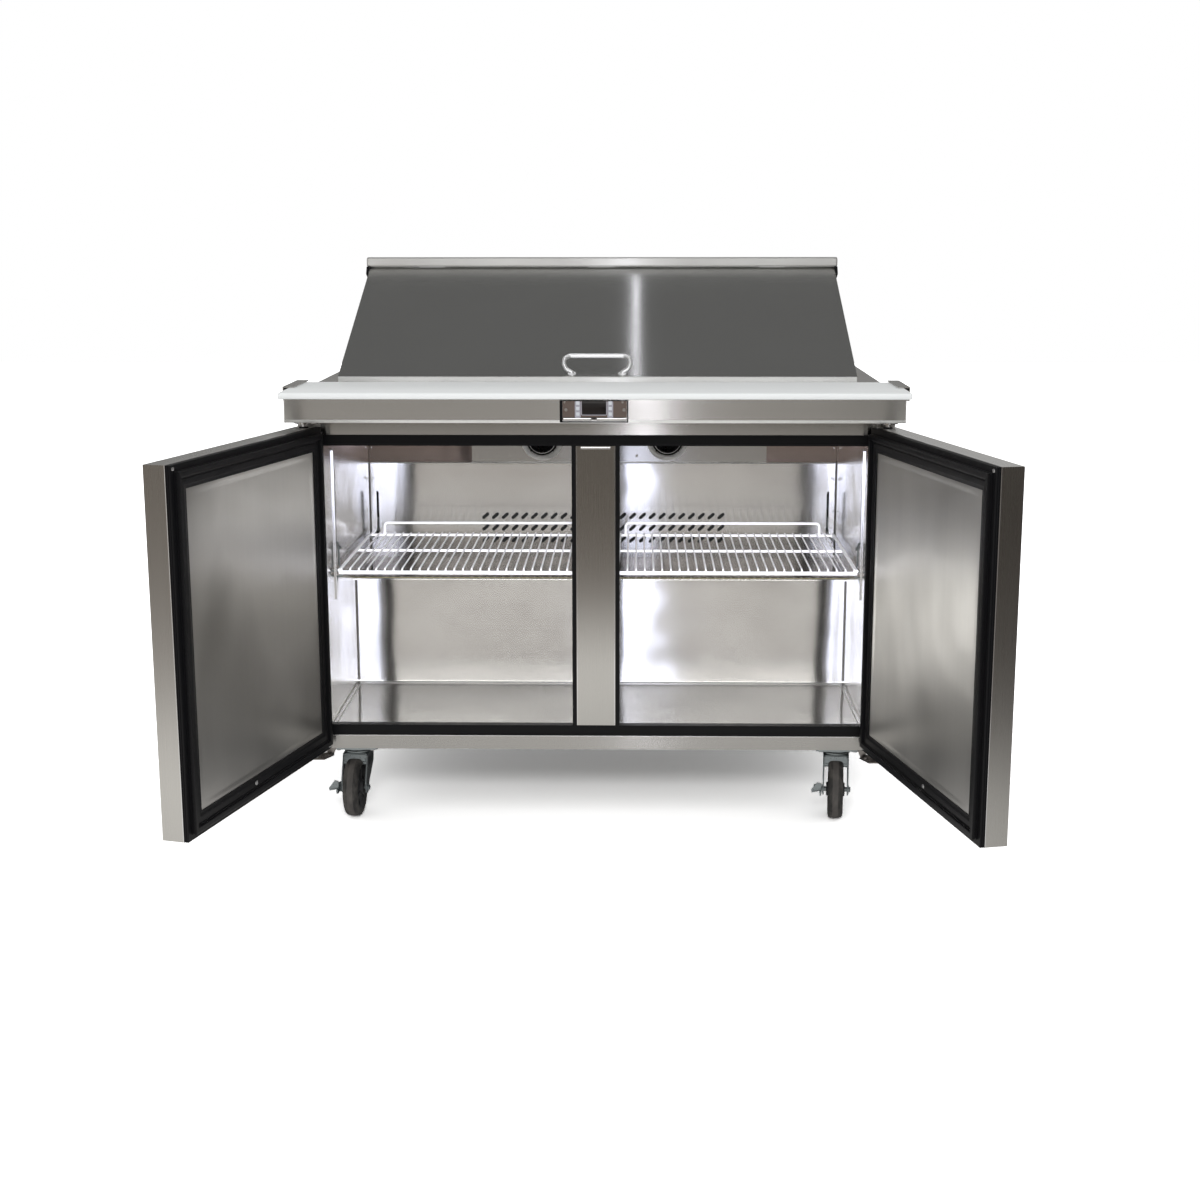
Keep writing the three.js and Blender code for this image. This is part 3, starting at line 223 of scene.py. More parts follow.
def moulded_plastic(name, color, roughness, grain_scale=1400, bump=0.02, dust=0.03, shine=0.3):
    """Moulded plastic or rubber with a fine skin texture and slightly uneven sheen."""
    s = Shader(name)
    skin = s.noise(grain_scale, detail=2)
    uneven = s.noise(14, detail=5, roughness=0.6)
    base = s.mix(s.spread(uneven, 0, dust, 0.4, 0.75), color, tuple(min(1, c * 1.3 + 0.05) for c in color))
    rough = s.uneven(roughness, uneven, 0.85, 1.15, skin, -0.03, 0.03)
    return s.surface(Base_Color=base, Roughness=rough, Normal=s.bump(skin, bump), Specular_IOR_Level=shine)


def cutting_board_plastic(name, color):
    """White polyethylene: matt, very slightly pebbled, with faint knife marks."""
    s = Shader(name)
    pebble = s.noise(700, detail=2)
    marks = s.noise((14, 900, 14), detail=4, roughness=0.7)
    cloud = s.noise(4, detail=4)
    base = s.shade(color, s.spread(cloud, 0.975, 1.02))
    normal = s.bump(marks, 0.02, 0.6, s.bump(pebble, 0.03))
    rough = s.spread(pebble, 0.42, 0.56)
    return s.surface(
        Base_Color=base, Roughness=rough, Normal=normal,
        Subsurface_Weight=0.06, Subsurface_Radius=(0.004, 0.004, 0.004),
    )


def wheel_tread(name, color):
    """Hard rubber tread, paler and duller in patches of wear and dust."""
    s = Shader(name)
    grit = s.noise(900, detail=4)
    wear = s.noise((60, 26, 26), detail=5, roughness=0.65)
    base = s.mix(s.spread(wear, 0, 0.55, 0.42, 0.72), color, (0.16, 0.145, 0.13))
    rough = s.spread(wear, 0.5, 0.78)
    return s.surface(Base_Color=base, Roughness=rough, Normal=s.bump(grit, 0.06))


def foam_material(name, color):
    """Open-cell foam, blotchy and dull."""
    s = Shader(name)
    cells = s.noise(450, detail=3)
    cloud = s.noise(12, detail=4)
    base = s.shade(color, s.maths("MULTIPLY", s.spread(cells, 0.85, 1.1), s.spread(cloud, 0.9, 1.08)))
    return s.surface(Base_Color=base, Roughness=0.9, Normal=s.bump(cells, 0.3))


def display_glass(name):
    """Smoked display window with a faint warm sheen."""
    s = Shader(name)
    haze = s.noise(60, detail=4)
    base = s.mix(haze, (0.004, 0.004, 0.005), (0.012, 0.009, 0.009))
    return s.surface(
        Base_Color=base, Roughness=s.spread(haze, 0.08, 0.18), Coat_Weight=0.6, Coat_Roughness=0.05,
    )


def fin_metal(name, color):
    """Stacked aluminium fins seen edge on, with painted shade in the gaps between them."""
    s = Shader(name)
    fins = s.node(
        "ShaderNodeTexWave", {"Vector": s.place, "Scale": 95.0, "Distortion": 0.2, "Detail": 1.0},
        bands_direction="X",
    ).outputs["Fac"]
    base = s.shade(color, s.spread(fins, 0.25, 1.05))
    return s.surface(Base_Color=base, Metallic=1.0, Roughness=0.4, Normal=s.bump(fins, 1.0))


STEEL = COLORS["stainless_brushed"]
BLACK = (0.007, 0.007, 0.008)
MATERIALS = {
    "steel_across": brushed_metal("steel_across", STEEL, 0.24, (1, 0, 0)),
    "steel_level": polished_sheet("steel_level", tuple(0.9 * c for c in STEEL), 0.22, waves=0.4),
    "steel_upright": brushed_metal("steel_upright", STEEL, 0.28, (0, 0, 1), dents=0.4),
    # The door panels carry painted reflection blotches as well as dents.
    "door_panel": brushed_metal("door_panel", STEEL, 0.34, (0, 0, 1), anisotropy=0.35, dents=14.0,
                                painted_reflections=0.3),
    "lid_steel": brushed_metal("lid_steel", tuple(1.3 * c for c in COLORS["stainless_dark"]), 0.17, (1, 0, 0),
                               tint=0.035, dents=0.3),
    "liner": polished_sheet("liner", COLORS["liner_polished"], 0.15, waves=3.2),
    # A darker copy of the liner: painted shade on the evaporator's back plate and the controller's face.
    "liner_painted_shade": polished_sheet("liner_painted_shade", (0.34, 0.28, 0.26), 0.2, waves=3.2),
    # A still darker copy of the liner: painted shade on the hump's top.
    "liner_painted_deep_shade": polished_sheet("liner_painted_deep_shade", (0.17, 0.145, 0.135), 0.2, waves=3.2),
    "edge": polished_sheet("edge", (0.93, 0.93, 0.92), 0.35),
    "bright": plated_metal("bright", COLORS["bright_chrome"], 0.12),
    "grip": polished_sheet("grip", (0.95, 0.95, 0.96), 0.42),
    "zinc": plated_metal("zinc", tuple(0.62 * c for c in COLORS["zinc_plate"]), 0.27, mottle=0.2),
    "foot": plated_metal("foot", (0.3, 0.28, 0.27), 0.22, mottle=0.2),
    "screw": plated_metal("screw", COLORS["bright_chrome"], 0.2, mottle=0.08),
    "black_plastic": moulded_plastic("black_plastic", BLACK, 0.4, dust=0.01, shine=0.15),
    "gasket": moulded_plastic("gasket", BLACK, 0.36, bump=0.015, dust=0.01, shine=0.18),
    "board": cutting_board_plastic("board", COLORS["board_white"]),
    "wire": moulded_plastic("wire", COLORS["wire_white"], 0.28, grain_scale=600, bump=0.02, dust=0.0),
    "foam": foam_material("foam", COLORS["foam"]),
    "keys": moulded_plastic("keys", COLORS["key_plastic"], 0.45),
    "display": display_glass("display"),
    "machine": moulded_plastic("machine", COLORS["machine_black"], 0.35, grain_scale=300, bump=0.05,
                               dust=0.3),
    "fins": fin_metal("fins", (0.7, 0.71, 0.72)),
    "copper": plated_metal("copper", (0.72, 0.36, 0.2), 0.25, mottle=0.15),
    "tread": wheel_tread("tread", (0.022, 0.021, 0.02)),
    "tread_worn": wheel_tread("tread_worn", (0.07, 0.064, 0.06)),
    "key_surround": moulded_plastic("key_surround", (0.38, 0.37, 0.42), 0.4),
    "liner_edge": polished_sheet("liner_edge", (0.9, 0.9, 0.9), 0.3),
    "hub": moulded_plastic("hub", (0.03, 0.03, 0.032), 0.5, grain_scale=500, bump=0.06),
}

NODE_MATERIALS = {
    "outer_casing": "steel_level",
    "centre_mullion": "steel_upright",
    "worktop_deck": "steel_across",
    "rear_hood": "steel_across",
    "lid_skin": "lid_steel",
    "lid_liner": "steel_across",
    "left_door_skin": "steel_upright",
    "right_door_skin": "steel_upright",
    "left_door_liner": "door_panel",
    "right_door_liner": "door_panel",
    "board_clip_left": "steel_across",
    "board_clip_right": "steel_across",
    "rear_grille": "steel_across",
    "evaporator_unit": "steel_level",
}
# The materials made for each of the record's slots; a CAD node is given the first of its slot.
SLOT_USERS = {
    "stainless_brushed": ("steel_across", "steel_level", "steel_upright", "door_panel", "edge"),
    "stainless_dark": ("lid_steel",),
    "liner_polished": ("liner", "liner_edge", "liner_painted_shade", "liner_painted_deep_shade", "fins"),
    "bright_chrome": ("bright", "grip", "screw", "copper"),
    "black_plastic": ("black_plastic", "display"),
    "gasket_rubber": ("gasket",),
    "board_white": ("board",),
    "wire_white": ("wire",),
    "foam": ("foam",),
    "key_plastic": ("keys", "key_surround"),
    "machine_black": ("machine",),
    "zinc_plate": ("zinc", "foot"),
    "wheel_rubber": ("tread", "tread_worn", "hub"),
}
SLOT_MATERIALS = {slot: materials[0] for slot, materials in SLOT_USERS.items()}
EDGE_ROUNDING = {"cutting_board": 1.6, "centre_mullion": 1.2, "worktop_deck": 0.5, "outer_casing": 0.5}


def dress_cad_nodes():
    """Gives each CAD node its material and a small rounding on its sharp edges."""
    for name, node in frame["nodes"].items():
        material = MATERIALS[NODE_MATERIALS.get(name, SLOT_MATERIALS[SLOTS[name]])]
        node.data.materials.clear()
        node.data.materials.append(material)
        rounding = node.modifiers.new("rounding", "BEVEL")
        rounding.width = EDGE_ROUNDING.get(name, 0.4) * MM
        rounding.segments = 2
        rounding.limit_method = "ANGLE"
        rounding.angle_limit = math.radians(40)


# ---------------------------------------------------------------- camera and light

CAMERA_PLACE = Vector((0.0861, -3.9534, 1.0915))
CAMERA_YAW = 0.0183
CAMERA_PITCH = 0.2037
CAMERA_ROLL = -0.0009
CAMERA_LENS = 52.85
CAMERA_SHIFT = (-0.00478, -0.01103)


def make_camera():
    data = bpy.data.cameras.new("camera")
    data.sensor_width = 36
    data.lens = CAMERA_LENS
    data.shift_x, data.shift_y = CAMERA_SHIFT
    data.clip_start, data.clip_end = 0.05, 100
    camera = bpy.data.objects.new("camera", data)
    bpy.context.scene.collection.objects.link(camera)
    camera.location = CAMERA_PLACE
    turn = Matrix.Rotation(CAMERA_YAW, 4, "Z") @ Matrix.Rotation(math.pi / 2 - CAMERA_PITCH, 4, "X")
    camera.rotation_euler = (turn @ Matrix.Rotation(CAMERA_ROLL, 4, "Z")).to_euler()
    bpy.context.scene.camera = camera


def area_light(name, place, target, size, power, color=(1, 1, 1), glossy=True, only=()):
    """A lamp that the camera doesn't see; it reaches every piece, or only the ones named."""
    data = bpy.data.lights.new(name, "AREA")
    data.shape = "RECTANGLE"
    data.size, data.size_y = size
    data.energy = power
    data.color = color
    light = bpy.data.objects.new(name, data)
    bpy.context.scene.collection.objects.link(light)
    light.location = place
    light.rotation_euler = (Vector(target) - Vector(place)).to_track_quat("-Z", "Y").to_euler()
    light.visible_camera = False
    light.visible_glossy = glossy
    if only:
        receivers = bpy.data.collections.new(f"{name}_receivers")
        for piece in only:
            receivers.objects.link(bpy.data.objects[piece])
        light.light_linking.receiver_collection = receivers


# What is mirrored in front of the table, what is mirrored behind it, and the light on dull surfaces.
ROOM_RAMP = [
    (-1.0, (0.24, 0.22, 0.195)),
    (-0.10, (0.27, 0.25, 0.222)),
    (0.06, (0.25, 0.235, 0.215)),
    (0.15, (0.88, 0.87, 0.84)),
    (0.34, (0.80, 0.79, 0.77)),
    (0.48, (0.22, 0.22, 0.215)),
    (0.85, (0.155, 0.155, 0.153)),
    (1.0, (0.30, 0.30, 0.30)),
]
BACKDROP_RAMP = [
    (-1.0, (0.45, 0.45, 0.45)),
    (0.0, (0.58, 0.58, 0.575)),
    (0.16, (0.54, 0.54, 0.535)),
    (0.34, (0.24, 0.235, 0.23)),
    (0.62, (0.17, 0.17, 0.168)),
    (0.85, (0.155, 0.155, 0.153)),
    (1.0, (0.30, 0.30, 0.30)),
]
SOFT_RAMP = [
    (-1.0, (1.05, 1.05, 1.05)),
    (0.05, (1.15, 1.15, 1.15)),
    (0.4, (0.85, 0.85, 0.85)),
    (1.0, (0.6, 0.6, 0.6)),
]


def level_ramp(tree, height, stops):
    """A colour for each direction's height, from straight down (-1) to straight up (1)."""
    return tree.ramp(tree.spread(height, 0, 1, -1, 1), [((level + 1) / 2, color) for level, color in stops])


def make_world():
    """White for the camera, soft light from all round, and the dim room for everything mirrored."""
    world = bpy.data.worlds.new("studio")
    bpy.context.scene.world = world
    world.use_nodes = True
    s = NodeTree(world.node_tree)
    direction = s.node("ShaderNodeTexCoord").outputs["Generated"]
    toward = s.node("ShaderNodeSeparateXYZ", {0: direction}).outputs
    ramps = (ROOM_RAMP, BACKDROP_RAMP, SOFT_RAMP)
    front, back, soft = (level_ramp(s, toward["Z"], stops) for stops in ramps)
    mirrored = s.mix(toward["Y"], front, back)
    rays = s.node("ShaderNodeLightPath").outputs
    shown = s.node("ShaderNodeBackground", {0: (1, 1, 1)}).outputs[0]
    for kind, color in (("Is Glossy Ray", mirrored), ("Is Diffuse Ray", soft)):
        background = s.node("ShaderNodeBackground", {0: color}).outputs[0]
        shown = s.node("ShaderNodeMixShader", {0: rays[kind], 1: shown, 2: background}).outputs[0]
    s.node("ShaderNodeOutputWorld", {0: shown})


FLOOR_DEPTHS = (-6.0, 0.0)
# The floor's glow as steel mirrors it, from far in front to the cabinet: a painted room, with painted shade under
# the cabinet.
FLOOR_STOPS = [
    (-6.0, (0.185, 0.16, 0.135)),
    (-4.0, (0.21, 0.185, 0.16)),
    (-2.6, (0.29, 0.26, 0.235)),
    (-1.7, (0.95, 0.93, 0.89)),
    (-0.95, (0.74, 0.73, 0.70)),
    (-0.5, (0.5, 0.49, 0.48)),
    (-0.2, (0.05, 0.05, 0.05)),
]
FLOOR_ALBEDO = 0.9
FLOOR_SHOWN = 2.5
FLOOR_HALF = 12.0
# Painted shade: the mirrored floor fades to a share of its strength between two places to the right of the table.
FLOOR_FADE = (0.5, 1.5)
FLOOR_FADE_SHARE = 0.2


def make_floor():
    """Pale floor; steel mirrors it as a glowing painted floor of the room, with painted shade darkest under the
    cabinet.
    """
    mesh = bpy.data.meshes.new("floor")
    corners = [(-FLOOR_HALF, -FLOOR_HALF), (FLOOR_HALF, -FLOOR_HALF),
               (FLOOR_HALF, FLOOR_HALF), (-FLOOR_HALF, FLOOR_HALF)]
    mesh.from_pydata([(x, y, FLOOR_LEVEL) for x, y in corners], [], [(0, 1, 2, 3)])
    floor = bpy.data.objects.new("floor", mesh)
    bpy.context.scene.collection.objects.link(floor)
    s = Shader("floor")
    rays = s.node("ShaderNodeLightPath").outputs
    brightness = s.spread(rays["Is Camera Ray"], FLOOR_ALBEDO, FLOOR_SHOWN)
    grey = s.node("ShaderNodeCombineXYZ", {axis: brightness for axis in "XYZ"}).outputs[0]
    pale = s.node("ShaderNodeBsdfDiffuse", {"Color": grey}).outputs[0]
    spot = s.node("ShaderNodeSeparateXYZ", {0: s.place}).outputs
    far, near = FLOOR_DEPTHS
    stops = [((level - far) / (near - far), color) for level, color in FLOOR_STOPS]
    mirrored = {"Color": s.ramp(s.spread(spot["Y"], 0, 1, far, near), stops),
                "Strength": s.spread(spot["X"], 1, FLOOR_FADE_SHARE, *FLOOR_FADE)}
    room = s.node("ShaderNodeEmission", mirrored).outputs[0]
    both = s.node("ShaderNodeMixShader", {0: rays["Is Glossy Ray"], 1: pale, 2: room}).outputs[0]
    s.node("ShaderNodeOutputMaterial", {0: both})
    mesh.materials.append(s.material)


FLASH = (0.93, 0.93, 1.0)
VIOLET_FLASH = (0.74, 0.79, 1.0)
WARM_ROOM = (1.0, 0.985, 0.95)
WARM_FLOOR = (1.0, 0.99, 0.96)
BRIGHT_EDGES = ["lid_rail", "worktop_hems", "lid_lip_hem"]
FLASHED_STEEL = ["worktop_deck", "outer_casing", "opening_lips", "lid_grip", *BRIGHT_EDGES]
FLASHED_INTERIOR = ["liner_shell", "liner_seams", "evaporator_cover", "evaporator_hem", "liner_rivets",
                    *(f"{place}_{word}_wall_strip" for place in ("front", "rear") for word in SIDES)]
# For each door: where the floor's glow comes from, and its power.
DOOR_GLOWS = {"left": ((0.15, 0.03, 0.33), 0.36), "right": ((-0.13, 0.05, 0.15), 2.3)}


def make_lights():
    """Soft light over all of it, then the flash and the room as each group of pieces shows them."""
    x, y, z = CAMERA_PLACE
    area_light("key", (x - 0.2, y - 0.3, 2.2), (0, 0, 0.5), (1.2, 0.8), 38, glossy=False)
    area_light("interior_flash", (x - 0.03, y - 0.15, 0.55), (x - 0.03, 0, 0.55), (0.24, 1.9), 6,
               VIOLET_FLASH, only=FLASHED_INTERIOR)
    area_light("front_flash", (x + 0.02, y - 0.15, 1.0), (x + 0.02, 0, 1.0), (0.08, 2.6), 4.5,
               FLASH, only=FLASHED_STEEL)
    area_light("lid_flash", (x - 0.008, 1.25, 2.6), (x - 0.008, 0.0, 0.9), (0.012, 1.3), 0.21,
               FLASH, only=["lid_skin"])
    for word, (place, power) in DOOR_GLOWS.items():
        hinge = Vector(JOINTS[f"{word}_door_hinge"]["pos_m"])
        area_light(f"{word}_door_glow", place, (hinge.x * 1.1, hinge.y - 0.25, 0.35), (0.7, 0.3), power,
                   WARM_FLOOR, only=[f"{word}_door_panel"])
    area_light("edge_light", (x, y - 1.0, 1.1), (x, 0, 0.9), (6.0, 1.6), 38,
               only=[*BRIGHT_EDGES, "mullion_trim", "controller_flange"])
    area_light("grip_light", (x, y, 1.6), (0, -0.25, 0.8), (3.0, 2.0), 60, only=["lid_grip"])
    area_light("room_glow", (0, -4.6, 1.32), (0, 0, 0.05), (4.5, 0.95), 34, WARM_ROOM, only=["liner_shell"])
    area_light("shelf_flash", (x, y, z), (0, 0, 0.4), (0.3, 0.3), 260, FLASH, glossy=False,
               only=["shelf_left", "shelf_right"])


def make_studio():
    make_camera()
    make_world()
    make_floor()
    make_lights()
    view = bpy.context.scene.view_settings
    view.view_transform = "Standard"
    view.look = "None"


# ---------------------------------------------------------------- mesh builders, in millimetres


def circle(count, radius=1.0, turn=0.0):
    """Points on a circle, counterclockwise."""
    steps = [turn + 2 * math.pi * i / count for i in range(count)]
    return [(radius * math.cos(a), radius * math.sin(a)) for a in steps]


def capsule(center, length, width, turn=0.0, steps=6):
    """Outline of a slot with round ends."""
    points = []
    for end, start in ((1, -math.pi / 2), (-1, math.pi / 2)):
        for i in range(steps + 1):
            a = start + math.pi * i / steps
            points.append((end * (length - width) / 2 + width / 2 * math.cos(a), width / 2 * math.sin(a)))
    c, s = math.cos(turn), math.sin(turn)
    return [(center[0] + c * x - s * y, center[1] + s * x + c * y) for x, y in points]


def rounded_rect(x0, x1, y0, y1, radius, steps=4):
    """Outline of a rectangle with round corners, counterclockwise."""
    radius = max(radius, 0.01)
    corners = [(x1 - radius, y0 + radius, -90), (x1 - radius, y1 - radius, 0),
               (x0 + radius, y1 - radius, 90), (x0 + radius, y0 + radius, 180)]
    points = []
    for cx, cy, start in corners:
        for i in range(steps + 1):
            a = math.radians(start + 90 * i / steps)
            points.append((cx + radius * math.cos(a), cy + radius * math.sin(a)))
    return points


def bent_path(points, bend, closed=False, steps=6):
    """The row of points with each corner replaced by an arc."""
    points = [Vector(p) for p in points]
    count = len(points)
    path = []
    for i, corner in enumerate(points):
        if not closed and i in (0, count - 1):
            path.append(corner)
            continue
        back = (points[i - 1] - corner)
        ahead = (points[(i + 1) % count] - corner)
        half = back.angle(ahead) / 2
        if half > math.radians(89.5):
            path.append(corner)
            continue
        reach = min(bend / math.tan(half), back.length * 0.49, ahead.length * 0.49)
        radius = reach * math.tan(half)
        back.normalize()
        ahead.normalize()
        middle = corner + (back + ahead).normalized() * (radius / math.sin(half))
        start, end = corner + back * reach - middle, corner + ahead * reach - middle
        for k in range(steps + 1):
            path.append(middle + start.slerp(end, k / steps) * radius if start.angle(end) > 1e-4 else corner)
    return path


class Solid:
    """Closed shapes gathered into one piece."""

    def __init__(self):
        self.mesh = bmesh.new()

    def loft(self, rings, cyclic=False):
        """Joins rings of points that have the same count; the two ends are closed unless cyclic."""
        made = [[self.mesh.verts.new(p) for p in ring] for ring in rings]
        size = len(made[0])
        pairs = list(zip(made, made[1:] + made[:1] if cyclic else made[1:]))
        for first, second in pairs:
            for k in range(size):
                corners = (first[k], first[(k + 1) % size], second[(k + 1) % size], second[k])
                self.mesh.faces.new(corners)
        if not cyclic:
            self.mesh.faces.new(made[0][::-1])
            self.mesh.faces.new(made[-1])
        return self

    def tube(self, points, radius, bend=0.0, sides=12, closed=False, steps=6, flat=1.0):
        """A bar of round section along a row of points."""
        path = bent_path(points, bend, closed, steps) if bend else [Vector(p) for p in points]
        count = len(path)
        tangents = []
        for i in range(count):
            before = path[i - 1] if closed or i else path[i]
            after = path[(i + 1) % count] if closed or i < count - 1 else path[i]
            tangents.append((after - before).normalized())
        side = tangents[0].orthogonal().normalized()
        rings = []
        for point, tangent in zip(path, tangents):
            side = (side - tangent * side.dot(tangent)).normalized()
            up = tangent.cross(side)
            rings.append([point + (side * a * flat + up * b) * radius for a, b in circle(sides)])
        return self.loft(rings, cyclic=closed)

    def lathe(self, profile, center, axis, sides=32, hollow=False, turn=0.0):
        """Turns (radius, along) points about an axis; hollow if they run in a closed loop."""
        axis = Vector(axis).normalized()
        across = axis.orthogonal().normalized()
        other = axis.cross(across)
        center = Vector(center)
        rings = []
        for radius, along in profile:
            middle = center + axis * along
            rings.append([middle + (across * a + other * b) * radius for a, b in circle(sides, 1, turn)])
        return self.loft(rings, cyclic=hollow)

    def prism(self, outline, depth, origin, u, v, holes=()):
        """A plate with an outline and holes in the plane of u and v, as thick as depth along u x v."""
        u, v, origin = Vector(u), Vector(v), Vector(origin)
        lift = u.cross(v) * depth
        loops = [outline, *holes]
        flat = [[Vector((a, b, 0)) for a, b in loop] for loop in loops]
        triangles = tessellate_polygon(flat)
        points = [origin + u * a + v * b for loop in loops for a, b in loop]
        low = [self.mesh.verts.new(p) for p in points]
        high = [self.mesh.verts.new(p + lift) for p in points]
        for triangle in triangles:
            if len(set(triangle)) == 3:
                self.mesh.faces.new([high[i] for i in triangle])
                self.mesh.faces.new([low[i] for i in reversed(triangle)])
        start = 0
        for loop in loops:
            size = len(loop)
            for k in range(size):
                a, b = start + k, start + (k + 1) % size
                self.mesh.faces.new((low[a], low[b], high[b], high[a]))
            start += size
        return self

    def box(self, low, high, radius=0.5, segments=2):
        """A block between two corners with rounded edges."""
        x0, y0, z0 = (min(a, b) for a, b in zip(low, high))
        x1, y1, z1 = (max(a, b) for a, b in zip(low, high))
        block = bmesh.new()
        bmesh.ops.create_cube(block, size=1)
        for vert in block.verts:
            vert.co = Vector((x1 if vert.co.x > 0 else x0, y1 if vert.co.y > 0 else y0,
                              z1 if vert.co.z > 0 else z0))
        radius = min(radius, 0.45 * min(x1 - x0, y1 - y0, z1 - z0))
        bmesh.ops.bevel(block, geom=block.edges[:], offset=radius, segments=segments, profile=0.5,
                        affect="EDGES")
        return self.absorb(block)

    def absorb(self, other):
        table = {vert: self.mesh.verts.new(vert.co) for vert in other.verts}
        for face in other.faces:
            self.mesh.faces.new([table[vert] for vert in face.verts])
        other.free()
        return self

    def ring(self, rectangle, profile, origin, u, v, radius=0.0, steps=4):
        """A frame round a rectangle (u0, u1, v0, v1): each profile point is (inset, height)."""
        u, v, origin = Vector(u), Vector(v), Vector(origin)
        lift = u.cross(v)
        u0, u1, v0, v1 = rectangle
        rings = []
        for inset, height in profile:
            if radius:
                loop = rounded_rect(u0 + inset, u1 - inset, v0 + inset, v1 - inset, radius - inset, steps)
            else:
                loop = [(u0 + inset, v0 + inset), (u1 - inset, v0 + inset),
                        (u1 - inset, v1 - inset), (u0 + inset, v1 - inset)]
            rings.append([origin + u * a + v * b + lift * height for a, b in loop])
        return self.loft(rings, cyclic=True)

    def screw(self, place, facing, radius=4.0, height=2.2):
        """A pan-head screw with a cross recess."""
        facing = Vector(facing).normalized()
        place = Vector(place)
        self.lathe([(radius, 0), (radius, height * 0.35), (radius * 0.9, height * 0.6)], place, facing, 20)
        arm, half = radius * 0.5, radius * 0.11
        cross = [(half, half), (half, arm), (-half, arm), (-half, half), (-arm, half), (-arm, -half),
                 (-half, -half), (-half, -arm), (half, -arm), (half, -half), (arm, -half), (arm, half)]
        u = facing.orthogonal().normalized()
        v = facing.cross(u)
        rim = circle(20, radius * 0.84)
        return self.prism(rim, height * 0.3, place + facing * height * 0.55, u, v, [cross])

    def screws(self, places, facing, *size):
        for place in places:
            self.screw(place, facing, *size)
        return self

    def bolt(self, place, facing, radius=6.0, height=4.5):
        """A hex bolt on its washer."""
        self.lathe([(radius * 1.5, 0), (radius * 1.5, 1.1), (radius * 1.4, 1.4)], place, facing, 24)
        head = [(radius, 1.3), (radius, height), (radius * 0.86, height + 0.7)]
        return self.lathe(head, place, facing, 6)

    def piece(self, name, material, body, replaces=(), matrix=None, slot=None, sharp=35):
        """Makes the shapes into one named object that rides on a body."""
        bmesh.ops.recalc_face_normals(self.mesh, faces=self.mesh.faces[:])
        mesh = bpy.data.meshes.new(name)
        self.mesh.to_mesh(mesh)
        self.mesh.free()
        mesh.transform((matrix or Matrix.Identity(4)) @ Matrix.Scale(MM, 4))
        mesh.shade_smooth()
        mesh.set_sharp_from_angle(angle=math.radians(sharp))
        mesh.materials.append(MATERIALS[material])
        made = bpy.data.objects.new(name, mesh)
        bpy.context.scene.collection.objects.link(made)
        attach(made, body)
        if replaces:
            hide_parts(*replaces)
        return made


def span(node, matrix=None):
    """A CAD node's lowest and highest corner in millimetres, in a local frame if one is given."""
    points = [v.co for v in frame["nodes"][node].data.vertices]
    if matrix is not None:
        back = matrix.inverted()
        points = [back @ p for p in points]
    low = Vector([min(p[i] for p in points) for i in range(3)])
    high = Vector([max(p[i] for p in points) for i in range(3)])
    return low / MM, high / MM


def row(low, high, count):
    """Evenly spaced numbers from low to high."""
    return [low + (high - low) * i / (count - 1) for i in range(count)]


# ---------------------------------------------------------------- doors

GASKET_PROFILE = [
    (12, 0.3), (12, 2.4), (13.4, 3), (13.4, 4.6), (12.3, 5.4), (12.3, 9), (13.4, 10), (21, 10),
    (22.4, 9.2), (22.4, 6.6), (24.6, 5.6), (24.6, 4.3), (27, 3.9), (28, 5), (37, 5), (38.4, 4.1),
    (45.6, 3.4), (46.2, 0.3),
]
TRIM_DEPTH = 9.7
TRIM_PROFILE = [
    (0, 0), (0, 1.8), (0.9, 2.2), (0.9, 3.2), (0, 3.6), (0, 5.4), (0.9, 5.8), (0.9, 6.8), (0, 7.2),
    (0, 8.8), (0.9, 9.7), (52, 9.7), (52, 0),
]
PANEL_INSET = 44.0
PANEL_BORDER = 5.0
PANEL_SLOPE = 12.0
PANEL_DROP = 0.8
PANEL_CORNER = 60.0
PANEL_SHEET = 0.8


def door_frame_matrix(word):
    """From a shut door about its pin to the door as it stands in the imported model."""
    joint = JOINTS[f"{word}_door_hinge"]
    swing = -SIDES[word] * math.radians(joint["range_deg"][0])
    return Matrix.Translation(Vector((*joint["pos_m"][:2], 0))) @ Matrix.Rotation(swing, 4, "Z")


def pressed_panel(rectangle, level, cells=56):
    """A sheet whose middle is pressed in, with a softly curved border."""
    u0, u1, v0, v1 = rectangle
    solid = Solid()
    front, back = [], []
    stops = [0.0, 0.5, *(PANEL_BORDER + PANEL_SLOPE * i / 8 for i in range(9))]

    def axis_stops(low, high):
        inner = row(low + stops[-1], high - stops[-1], cells // 4)[1:-1]
        return [low + s for s in stops] + inner + [high - s for s in reversed(stops)]

    us, vs = axis_stops(u0, u1), axis_stops(v0, v1)
    for v in vs:
        for u in us:
            du = min(u - u0, u1 - u) - PANEL_BORDER
            dv = min(v - v0, v1 - v) - PANEL_BORDER
            if du < PANEL_CORNER and dv < PANEL_CORNER:
                inside = PANEL_CORNER - math.hypot(PANEL_CORNER - du, PANEL_CORNER - dv)
            else:
                inside = min(du, dv)
            t = max(0.0, min(1.0, inside / PANEL_SLOPE))
            drop = PANEL_DROP * t * t * (3 - 2 * t)
            front.append(solid.mesh.verts.new((u, level - drop, v)))
            back.append(solid.mesh.verts.new((u, level - drop - PANEL_SHEET, v)))
    width, height = len(us), len(vs)
    for j in range(height - 1):
        for i in range(width - 1):
            a = j * width + i
            quad = (a, a + 1, a + width + 1, a + width)
            solid.mesh.faces.new([front[k] for k in quad])
            solid.mesh.faces.new([back[k] for k in reversed(quad)])
    edge = [*range(width)] + [j * width + width - 1 for j in range(1, height)]
    edge += [(height - 1) * width + i for i in reversed(range(width - 1))]
    edge += [j * width for j in reversed(range(1, height - 1))]
    for a, b in zip(edge, edge[1:] + edge[:1]):
        solid.mesh.faces.new((front[b], front[a], back[a], back[b]))
    return solid


